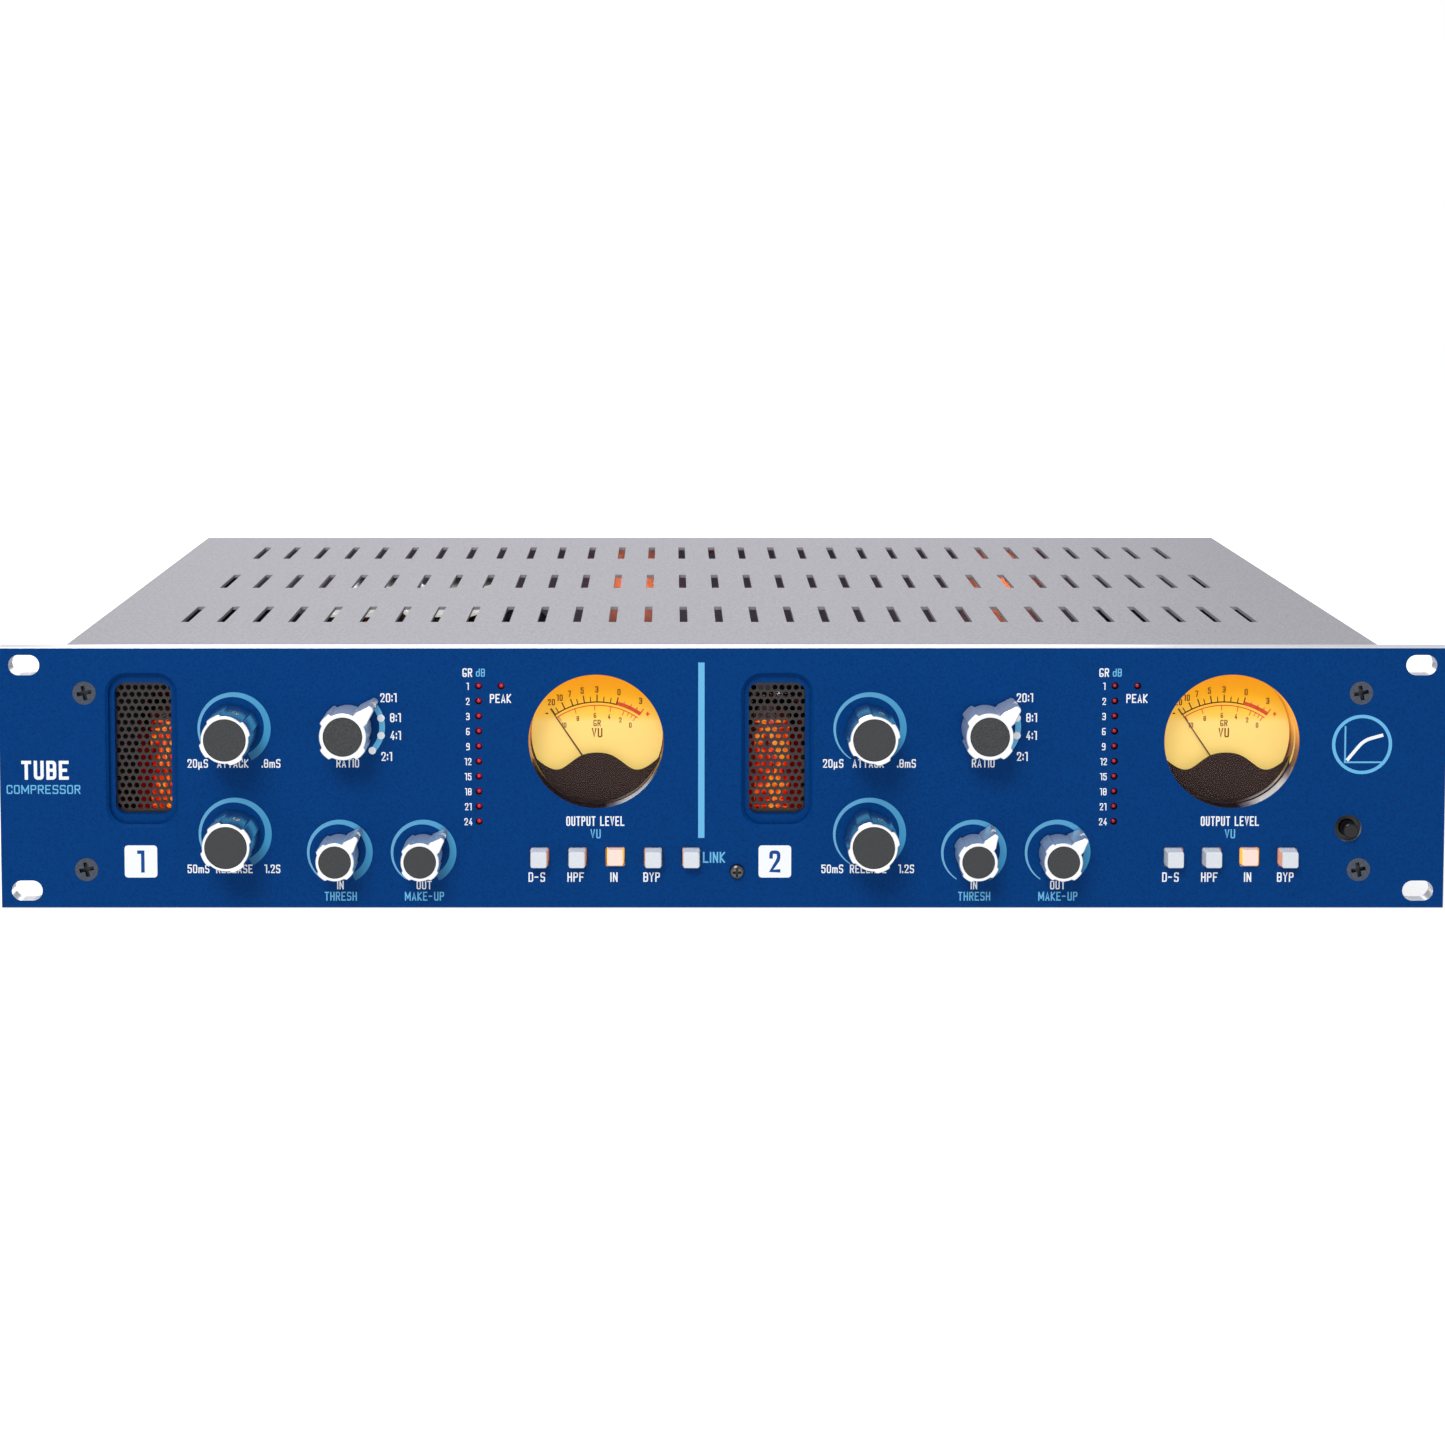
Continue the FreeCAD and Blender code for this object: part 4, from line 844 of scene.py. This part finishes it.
# Each letter is a few strokes on a grid 4 wide and 8 high: a column digit, then the row.
# A corner is rounded unless a full stop follows it.
COLUMNS = 4
ROWS = 8
STROKES = {
    "0": ["00 08 48 40 00"],
    "1": ["08 28. 20"],
    "2": ["06 08 48 45 00. 40"],
    "3": ["07 08 48 40 00 01", "14 44"],
    "4": ["38 02. 42", "34 30"],
    "5": ["48 08. 05. 45 40 00 02"],
    "6": ["48 08 00 40 44 24", "24 04"],
    "7": ["08 48. 20"],
    "8": ["00 08 48 40 00", "04 44"],
    "9": ["24 04 08 48 40 00", "24 44"],
    "A": ["00 28. 40", "12 32"],
    "B": ["00 08", "08 48 44 04", "44 40 00"],
    "C": ["46 48 08 00 40 42"],
    "D": ["08. 00. 40 48 08"],
    "E": ["48 08. 00. 40", "04 34"],
    "F": ["48 08. 00", "04 34"],
    "G": ["47 48 08 00 40 43 23"],
    "H": ["00 08", "40 48", "04 44"],
    "I": ["00 08"],
    "K": ["00 08", "48 04. 40"],
    "L": ["08 00. 40"],
    "M": ["00 08", "40 48", "08 22", "22 48"],
    "N": ["00 08", "08 40", "40 48"],
    "O": ["00 08 48 40 00"],
    "P": ["00 08", "08 48 44 04"],
    "R": ["00 08", "08 48 44 04", "24 40"],
    "S": ["47 48 08 04 44 40 00 01"],
    "T": ["08 48", "28 20"],
    "U": ["08 00 40 48"],
    "V": ["08 20. 48"],
    "Y": ["08 24. 48", "24 20"],
    "d": ["48 40 00 05 25", "25 45"],
    "m": ["00 05. 45 40", "25 20"],
    "u": ["0-2 05", "00 30 35", "30 40"],
    ".": ["00 01"],
    ":": ["01 02", "05 06"],
    "-": ["04 34"],
    "+": ["04 44", "26 22"],
}
# Letters without width, with half the grid's columns, and wider than the rest.
NARROW = "I.:"
HALF = "1"
WIDE = "Mm"
# Shares of the height: a letter's width, the gap between letters, and the radius of corners.
LETTER_W = 0.49
LETTER_GAP = 0.13
ROUNDING = 0.13
WIDER = 1.45
# Steps in which a corner is rounded.
FINE = 4


def glyph_width(letter, cap, stroke):
    """Width of a letter's centre lines."""
    if letter in NARROW:
        return 0.0
    base = LETTER_W * cap - stroke
    if letter == " " or letter in HALF:
        return 0.5 * base
    return base * (WIDER if letter in WIDE else 1.0)


def rounded(points, sharp, radius):
    """A path with small arcs at its corners, except those marked sharp."""
    if points[0] == points[-1]:
        middle = ((points[0][0] + points[1][0]) / 2, (points[0][1] + points[1][1]) / 2)
        points = [middle] + points[1:] + [middle]
        sharp = [True] + sharp[1:-1] + [sharp[0]] + [True]
    path = [points[0]]
    for k in range(1, len(points) - 1):
        a, b, c = Vector(points[k - 1]), Vector(points[k]), Vector(points[k + 1])
        reach = 0.0 if sharp[k] else min(radius, 0.45 * (a - b).length, 0.45 * (c - b).length)
        if reach < 0.01:
            path.append((b.x, b.y))
            continue
        start = b + (a - b).normalized() * reach
        end = b + (c - b).normalized() * reach
        for step in range(FINE + 1):
            t = step / FINE
            p = start * (1 - t) ** 2 + b * (2 * t * (1 - t)) + end * t**2
            path.append((p.x, p.y))
    path.append(points[-1])
    return path


def write(marks, text, x, z, cap, weight=0.135, width=None, mirror=False):
    """Letters cap high, centred on x and z.

    weight is a stroke's share of cap; width stretches the line to fit, and mirror is for the rear.
    """
    stroke = weight * cap
    gap = LETTER_GAP * cap
    advances = [glyph_width(letter, cap, stroke) + stroke for letter in text]
    total = sum(advances) + gap * (len(text) - 1)
    stretch = (width / total) if width else 1.0
    left = x - total * stretch / 2
    base = z - cap / 2 + stroke / 2
    rise = (cap - stroke) / ROWS
    for letter, advance in zip(text, advances):
        columns = COLUMNS / 2 if letter in HALF else COLUMNS
        run = (advance * stretch - stroke) / columns if letter not in NARROW else 0.0
        start = left + (stroke / 2 if letter not in NARROW else advance * stretch / 2)
        for line in STROKES.get(letter, []):
            points = []
            sharp = []
            for token in line.split():
                sharp.append(token.endswith("."))
                token = token.rstrip(".")
                points.append((start + int(token[0]) * run, base + int(token[1:]) * rise))
            path = extended(rounded(points, sharp, ROUNDING * cap), stroke / 2)
            if mirror:
                path = [(2 * x - px, pz) for px, pz in path]
            marks.path(path, stroke)
        left += advance * stretch + gap * stretch


def extended(path, reach):
    """A stroke run on by half its width at both ends, so that its ends are square."""
    if path[0] == path[-1]:
        return path
    first = Vector(path[0]) - direction(path[0], path[1]) * reach
    last = Vector(path[-1]) + direction(path[-2], path[-1]) * reach
    return [tuple(first)] + path[1:-1] + [tuple(last)]


# ---- front panel marks

LARGE_RING_R = 12.2
SMALL_RING_R = 10.97
RING_START = 238.0
RING_SWEEP = -300.0
RING_STEPS = 84
# A ring's width at its start, what it gains on the way, and how evenly it does so.
RING_THIN = 0.3
RING_GAIN = 2.4
RING_CURVE = 0.9
# Share of the way after which a ring darkens: painted shade of its knob over the ring's end.
RING_SHADE_FROM = 0.86
RING_PALE = linear(110, 174, 210)
RING_STRONG = linear(56, 142, 188)
RING_SHADED = linear(40, 96, 140)


def mix(a, b, t):
    """A colour between two."""
    return tuple(p + (q - p) * t for p, q in zip(a, b))


def ring_tint(s):
    """A ring's colour at a share of the way along it, darker near the end as painted shade."""
    if s < RING_SHADE_FROM:
        return mix(RING_PALE, RING_STRONG, s / RING_SHADE_FROM)
    return mix(RING_STRONG, RING_SHADED, (s - RING_SHADE_FROM) / (1 - RING_SHADE_FROM))


def control_rings():
    """Rings round four knobs of each channel, thin and pale at their start, wide at their end, and
    darker at the very end as painted shade.
    """
    marks = Marks("control_rings", "fading", FRONT)
    tints = [ring_tint(k / RING_STEPS) for k in range(RING_STEPS + 1)]
    end = RING_START + RING_SWEEP
    for number in (1, 2):
        for name in ("attack", "release", "threshold", "makeup"):
            spot = knob(name, number)
            radius = LARGE_RING_R if name in ("attack", "release") else SMALL_RING_R

            def inner(s, radius=radius):
                return radius - RING_THIN - RING_GAIN * s**RING_CURVE

            marks.arc(spot.x, spot.z, inner, radius, RING_START, end, RING_STEPS, tints)
    marks.make()


RATIO_SHIFT = Vector((-0.1, 0, 0.15))
RATIO_DOTS_R = 11.35
RATIO_DOT_R = 1.25
RATIO_BAND_HALF = 0.95
RATIO_ANGLES = (45, 15, -15, -45)
RATIO_VALUES = (("20:1", 13.5, 9.8), ("8:1", 15.8, 3.1), ("4:1", 15.8, -2.9), ("2:1", 12.8, -10.0))


def ratio_marks():
    """Four dots joined by a band, and their step values."""
    band = Marks("ratio_bands", "blue_ink", FRONT)
    dots = Marks("ratio_dots", "white_ink", FRONT, 2 * PRINT_T)
    values = Marks("ratio_values", "white_ink", FRONT)
    inner, outer = RATIO_DOTS_R - RATIO_BAND_HALF, RATIO_DOTS_R + RATIO_BAND_HALF
    for number in (1, 2):
        spot = knob("ratio", number) + RATIO_SHIFT
        band.arc(spot.x, spot.z, inner, outer, RATIO_ANGLES[0], RATIO_ANGLES[-1], 36)
        for angle in RATIO_ANGLES:
            dots.disc(*around(spot.x, spot.z, RATIO_DOTS_R, math.radians(angle)), RATIO_DOT_R, 24)
        for text, dx, dz in RATIO_VALUES:
            write(values, text, spot.x + dx, spot.z + dz, 3.0)
    band.make()
    dots.make()
    values.make()


def lamp_marks(white, blue):
    """Numbers beside the lamps, and the headings over them."""
    for dx in CHANNELS:
        x = LED_X + dx
        for k, text in enumerate(LED_NUMBERS):
            write(white, text, x - 3.6, LED_TOP_Z - LED_PITCH * k - 0.1, 2.4)
        write(white, "GR", x - 3.7, LED_TOP_Z + 4.5, 2.9)
        write(blue, "dB", x + 0.65, LED_TOP_Z + 4.5, 2.7)
        write(white, "PEAK", x + 7.3, LED_TOP_Z - 4.2, 3.0)


def button_marks(white, blue):
    """Names under the buttons and the meters."""
    for dx in CHANNELS:
        x = METER_X + dx
        write(white, "OUTPUT LEVEL", x - 0.3, METER_Z - 26.9, 3.25, width=19.4)
        write(blue, "VU", x - 0.2, METER_Z - 31.2, 3.1)
        for text, off in (("D-S", -19.9), ("HPF", -6.9), ("IN", 5.9), ("BYP", 18.5)):
            write(white, text, x + off, BUTTON_Z - 6.9, 3.2)
    write(blue, "LINK", METER_X + 39.35, BUTTON_Z - 0.2, 3.7, weight=0.14)


# For each knob the height of its line, and texts with their places along it, from the knob.
KNOB_LINES = {
    "attack": (-11.8, ("20uS", -12.25), ("ATTACK", -0.55), (".8mS", 12.2)),
    "release": (-11.9, ("50mS", -12.4), ("RELEASE", -0.4), ("1.2S", 12.3)),
    "ratio": (-12.1, ("RATIO", -0.3)),
}
KNOB_NAMES = (("threshold", "IN", "THRESH"), ("makeup", "OUT", "MAKE-UP"))
KNOB_TEXT_H = 2.9


def knob_marks(white, blue):
    """Names and end values round the knobs."""
    for number in (1, 2):
        for name, (dz, *texts) in KNOB_LINES.items():
            spot = knob(name, number)
            for text, dx in texts:
                write(white, text, spot.x + dx, spot.z + dz, KNOB_TEXT_H)
        for name, top, under in KNOB_NAMES:
            spot = knob(name, number)
            write(white, top, spot.x + 0.1, spot.z - 11.2, KNOB_TEXT_H)
            write(blue, under, spot.x + 0.2, spot.z - 15.0, 3.0)


TAG_HALF = 5.45
TAG_CORNER = 1.1
TAG_PLACE = (-0.7, -1.6)


def channel_tags():
    """White number boxes under the valve windows."""
    tags = Marks("channel_tags", "white_ink", FRONT)
    digits = Marks("channel_digits", "deep_ink", FRONT - PRINT_T)
    inset = TAG_HALF - TAG_CORNER
    for number, dx in enumerate(CHANNELS, start=1):
        x = WINDOW_X + dx + TAG_PLACE[0]
        z = BUTTON_Z + TAG_PLACE[1]
        outline = []
        for sx, sz, first in ((1, 1, 0), (-1, 1, 90), (-1, -1, 180), (1, -1, 270)):
            for step in range(5):
                a = math.radians(first + 22.5 * step)
                along = sx * inset + TAG_CORNER * math.cos(a)
                outline.append((x + along, z + sz * inset + TAG_CORNER * math.sin(a)))
        tags.polygon(outline)
        write(digits, str(number), x, z, 7.5, weight=0.155)
    tags.make()
    digits.make()


HOLE_EDGE_R = 22.45
LIP_W = 0.9
WALL_T = 0.05
WALL_DEPTH = 2.0
HOLE_STEPS = 160


def meter_edges():
    """A painted lip round each meter hole, and the clear wall inside it, which carries painted
    glow, shade and highlight.
    """
    lips = Marks("meter_lips", "paint", FRONT)
    walls = Marks("meter_walls", "rim", FRONT + WALL_DEPTH, WALL_DEPTH + PRINT_T)
    wall_r = HOLE_EDGE_R + WALL_T
    for dx in CHANNELS:
        lips.arc(METER_X + dx, METER_Z, wall_r, HOLE_EDGE_R + LIP_W, 0, 360, HOLE_STEPS)
        walls.arc(METER_X + dx, METER_Z, HOLE_EDGE_R, wall_r, 0, 360, HOLE_STEPS)
    lips.make()
    walls.make()


# Places from the emblem's middle, which is itself placed from the second meter's.
EMBLEM_PLACE = (43.4, -1.0)
EMBLEM_RING = (8.9, 10.0)
EMBLEM_AXES = (((-5.6, -6.0), (-5.6, 6.2)), ((-5.9, -6.0), (6.6, -6.0)))
EMBLEM_AXIS_W = 0.55
EMBLEM_CURVE = ((-5.0, -5.4), (0.6, 1.4), (7.0, 3.2))
EMBLEM_CURVE_W = 1.1
EMBLEM_KNEE_R = 2.4


def emblem():
    """Generic mark: a ring with the bent line of a compressor's response inside it."""
    x = PIVOTS[1].x + EMBLEM_PLACE[0]
    z = METER_Z + EMBLEM_PLACE[1]
    blue = Marks("emblem_ring", "blue_ink", FRONT)
    blue.arc(x, z, *EMBLEM_RING, 0, 360, 96)
    for axis in EMBLEM_AXES:
        blue.path([(x + dx, z + dz) for dx, dz in axis], EMBLEM_AXIS_W)
    blue.make()
    white = Marks("emblem_curve", "white_ink", FRONT)
    curve = [(x + dx, z + dz) for dx, dz in EMBLEM_CURVE]
    white.path(rounded(curve, [False] * 3, EMBLEM_KNEE_R), EMBLEM_CURVE_W)
    white.make()


TITLE_X = WINDOW_X - 32.9
DIVIDER_X = METER_X + 35.1
DIVIDER_ENDS = (39.0, -20.2)
DIVIDER_W = 2.1


def panel_marks():
    """All printing on the front panel."""
    white = Marks("white_legends", "white_ink", FRONT)
    blue = Marks("blue_legends", "blue_ink", FRONT)
    lamp_marks(white, blue)
    button_marks(white, blue)
    knob_marks(white, blue)
    write(white, "TUBE", TITLE_X + 0.6, 2.7, 6.4, weight=0.17, width=15.8)
    write(blue, "COMPRESSOR", TITLE_X, -3.8, 3.0, width=24.6)
    white.make()
    blue.make()
    bar = Marks("divider_bar", "blue_ink", FRONT)
    bar.path([(DIVIDER_X, z) for z in DIVIDER_ENDS], DIVIDER_W)
    bar.make()
    control_rings()
    ratio_marks()
    channel_tags()
    meter_edges()
    emblem()


# ---- meter dials

# Angles are clockwise from straight up at the needle's pivot.
SCALE_R = 25.2
SCALE_FROM = -34.6
SCALE_TO = 34.8
RED_FROM = 15.0
MAJOR = (-34.1, -25.5, -18.9, -9.7, 0.0, 15.0, 34.6)
MINOR = (-31.0, -14.8, -4.9, 5.0, 10.2, 20.4, 25.6, 30.4)
LEVELS = (
    (-31.6, "20"), (-25.4, "10"), (-18.4, "7"), (-9.8, "5"), (-0.2, "3"), (14.5, "0"), (29.9, "3"),
)
REDUCTION = ((-33.0, "10"), (-18.4, "8"), (-2.0, "6"), (11.3, "4"), (22.4, "2"), (33.0, "0"))
REDUCTION_MINOR = (26.4, 29.8)


def on_dial(x, radius, angle):
    """A point of the dial at a distance and an angle from the pivot."""
    return around(x, METER_Z - PIVOT_DROP, radius, math.radians(90 - angle))


def tick(marks, x, angle, start, end, width):
    """A short line across the scale, between two distances from it."""
    marks.path([on_dial(x, SCALE_R + start, angle), on_dial(x, SCALE_R + end, angle)], width)


def dial_marks():
    """Level scale, red overload band, inner reduction scale and their names."""
    surface = low("meter_dials").y
    ink = Marks("dial_scales", "scale_ink", surface, DIAL_PRINT_T)
    red = Marks("dial_red_bands", "red_ink", surface, DIAL_PRINT_T)
    brown = Marks("dial_names", "brown_ink", surface, DIAL_PRINT_T)
    pivot_z = METER_Z - PIVOT_DROP
    for dx in CHANNELS:
        x = METER_X + dx
        start, red_start, end = 90 - SCALE_FROM, 90 - RED_FROM, 90 - SCALE_TO
        ink.arc(x, pivot_z, SCALE_R - 0.2, SCALE_R + 0.2, start, red_start, 60)
        red.arc(x, pivot_z, SCALE_R - 0.2, SCALE_R + 1.1, red_start, end, 30)
        red.arc(x, pivot_z, SCALE_R - 1.3, SCALE_R - 0.98, start, end, 60)
        for angles, length, width in ((MAJOR, 2.5, 0.4), (MINOR, 1.9, 0.32)):
            for angle in angles:
                tick(red if angle > RED_FROM else ink, x, angle, 0.0, length, width)
        for angle, text in LEVELS:
            write(brown, text, *on_dial(x, SCALE_R + 4.3, angle), 2.2, weight=0.165)
        for angle, text in REDUCTION:
            tick(red, x, angle, -1.2, -2.9, 0.28)
            write(brown, text, *on_dial(x, SCALE_R - 4.6, angle), 1.75, weight=0.16)
        for angle in REDUCTION_MINOR:
            tick(red, x, angle, -1.2, -2.4, 0.26)
        write(red, "+", x + 17.1, METER_Z + 6.7, 2.6, weight=0.17)
        write(ink, "-", x - 16.9, METER_Z + 6.9, 2.2, weight=0.2)
        write(brown, "GR", x, METER_Z + 3.6, 2.2, weight=0.14)
        write(brown, "VU", x, METER_Z + 0.3, 3.2, weight=0.14)
    ink.make()
    red.make()
    brown.make()


# ---- rear marks

REAR_NAMES_Z = 21.0


def rear_marks():
    """Plain names over the connectors."""
    dark = Marks("rear_legends", "dark_ink", high("rear_panel").y, facing=1)
    inputs, outputs = connector_xs("xlr_inputs"), connector_xs("xlr_outputs")
    names = [("IN 1", inputs[0]), ("OUT 1", outputs[0]), ("IN 2", inputs[1]), ("OUT 2", outputs[1])]
    for text, x in names + [("AC IN", middle_x("mains_inlet"))]:
        write(dark, text, x, REAR_NAMES_Z, 3.4, mirror=True)
    dark.make()


# ---- studio


def soft_light(name, location, target, width, height, power, colour=(1.0, 1.0, 1.0), beam=180):
    """A rectangular softbox aimed at a point; beam is the width of its light in degrees."""
    data = bpy.data.lights.new(name, "AREA")
    data.shape = "RECTANGLE"
    data.size = width
    data.size_y = height
    data.energy = power
    data.color = colour
    data.spread = math.radians(beam)
    lamp = bpy.data.objects.new(name, data)
    lamp.location = location
    lamp.rotation_mode = "QUATERNION"
    lamp.rotation_quaternion = (Vector(target) - Vector(location)).to_track_quat("-Z", "Y")
    bpy.context.scene.collection.objects.link(lamp)


def faded(tree, value, start, end):
    """0 to 1 as a value goes from start to end."""
    node = tree.nodes.new("ShaderNodeMapRange")
    node.interpolation_type = "SMOOTHSTEP"
    node.inputs["From Min"].default_value = start
    node.inputs["From Max"].default_value = end
    tree.links.new(value, node.inputs["Value"])
    return node.outputs["Result"]


def backdrop(tree, colour, strength):
    """A plain background of the studio's dome."""
    node = tree.nodes.new("ShaderNodeBackground")
    node.inputs["Color"].default_value = colour
    node.inputs["Strength"].default_value = strength
    return node


def studio_world():
    """White to the camera; to everything else a soft dome, brightest in front and below."""
    world = bpy.data.worlds.new("studio")
    bpy.context.scene.world = world
    world.use_nodes = True
    tree = world.node_tree
    tree.nodes.remove(tree.nodes["Background"])
    dome = backdrop(tree, (0.92, 0.95, 1.0, 1.0), 0.55)
    front = backdrop(tree, PURE_WHITE, 1.15)
    aim = tree.nodes.new("ShaderNodeTexCoord")
    split = tree.nodes.new("ShaderNodeSeparateXYZ")
    tree.links.new(aim.outputs["Generated"], split.inputs["Vector"])
    ahead = faded(tree, split.outputs["Y"], -0.45, -0.85)
    under = faded(tree, split.outputs["Z"], 0.20, -0.02)
    both = compute(tree, "Math", "MULTIPLY", ahead, under)
    lit = tree.nodes.new("ShaderNodeMixShader")
    tree.links.new(both.outputs["Value"], lit.inputs["Fac"])
    tree.links.new(dome.outputs["Background"], lit.inputs[1])
    tree.links.new(front.outputs["Background"], lit.inputs[2])
    plain = backdrop(tree, PURE_WHITE, 1.0)
    rays = tree.nodes.new("ShaderNodeLightPath")
    choice = tree.nodes.new("ShaderNodeMixShader")
    tree.links.new(rays.outputs["Is Camera Ray"], choice.inputs["Fac"])
    tree.links.new(lit.outputs["Shader"], choice.inputs[1])
    tree.links.new(plain.outputs["Background"], choice.inputs[2])
    tree.links.new(choice.outputs["Shader"], tree.nodes["World Output"].inputs["Surface"])


GLOW_XS = (-34.0, 130.0)
GLOW_COLOUR = (1.0, 0.22, 0.05)


def valve_glow():
    """Warm light from the valves at the back, and daylight that has come in through the vents."""
    for x in GLOW_XS:
        start, end = (x * MM, 0.205, 0.020), (x * MM, 0.235, 0.020)
        soft_light("valve_glow", start, end, 0.010, 0.02, 0.006, GLOW_COLOUR, 70)
    soft_light("vent_light", (-0.124, 0.145, 0.0395), (-0.124, 0.145, 0.0), 0.09, 0.09, 0.02)


FLOOR_HALF = 2.5
FLOOR_GAP = 0.0005


def studio_floor():
    """A pale floor under the case, which takes shadows and sends no light back to the case."""
    level = low("front_panel").z * MM - FLOOR_GAP
    corners = [(-1, -1), (1, -1), (1, 1), (-1, 1)]
    vertices = [(x * FLOOR_HALF, y * FLOOR_HALF, level) for x, y in corners]
    mesh = bpy.data.meshes.new("floor")
    mesh.from_pydata(vertices, [], [(0, 1, 2, 3)])
    made, _ = principled("floor_white", (0.80, 0.80, 0.80, 1.0), 0.9, specular=0.0)
    lit_up(made, PURE_WHITE, 0.55)
    mesh.materials.append(made)
    floor = bpy.data.objects.new("floor", mesh)
    floor.visible_diffuse = False
    floor.visible_glossy = False
    floor.visible_transmission = False
    floor.visible_shadow = False
    bpy.context.scene.collection.objects.link(floor)


def studio():
    """Dome, floor, softboxes and the light inside the case."""
    studio_world()
    studio_floor()
    soft_light("top_box", (-0.45, 0.05, 1.4), (-0.05, 0.10, 0.0), 1.2, 1.0, 9)
    soft_light("front_box", (-0.40, -1.45, 1.35), (0.0, 0.0, 0.0), 0.8, 0.6, 21)
    soft_light("back_box", (0.30, 1.70, -0.25), (0.0, 0.24, 0.0), 1.2, 0.5, 9)
    soft_light("sheen_box", (-0.08, 1.70, 0.55), (0.0, 0.24, 0.0), 1.2, 0.6, 4)
    valve_glow()
    scene = bpy.context.scene
    scene.view_settings.view_transform = "Standard"
    scene.view_settings.look = "None"


CAMERA_PLACE = (-0.0172, -0.7278, 0.1959)
CAMERA_TILT = 3.15
CAMERA_LENS = 54.72
CAMERA_SHIFT = (0.0356, -0.2848)


def camera():
    """Stands above the panel and looks almost straight ahead; the lens shift frames the case."""
    data = bpy.data.cameras.new("camera")
    data.sensor_width = 36.0
    data.lens = CAMERA_LENS
    data.shift_x, data.shift_y = CAMERA_SHIFT
    data.clip_start = 0.01
    made = bpy.data.objects.new("camera", data)
    made.location = CAMERA_PLACE
    made.rotation_euler = (math.radians(90 - CAMERA_TILT), 0, 0)
    bpy.context.scene.collection.objects.link(made)
    bpy.context.scene.camera = made


dress_frame()
panel_marks()
dial_marks()
rear_marks()
studio()
camera()
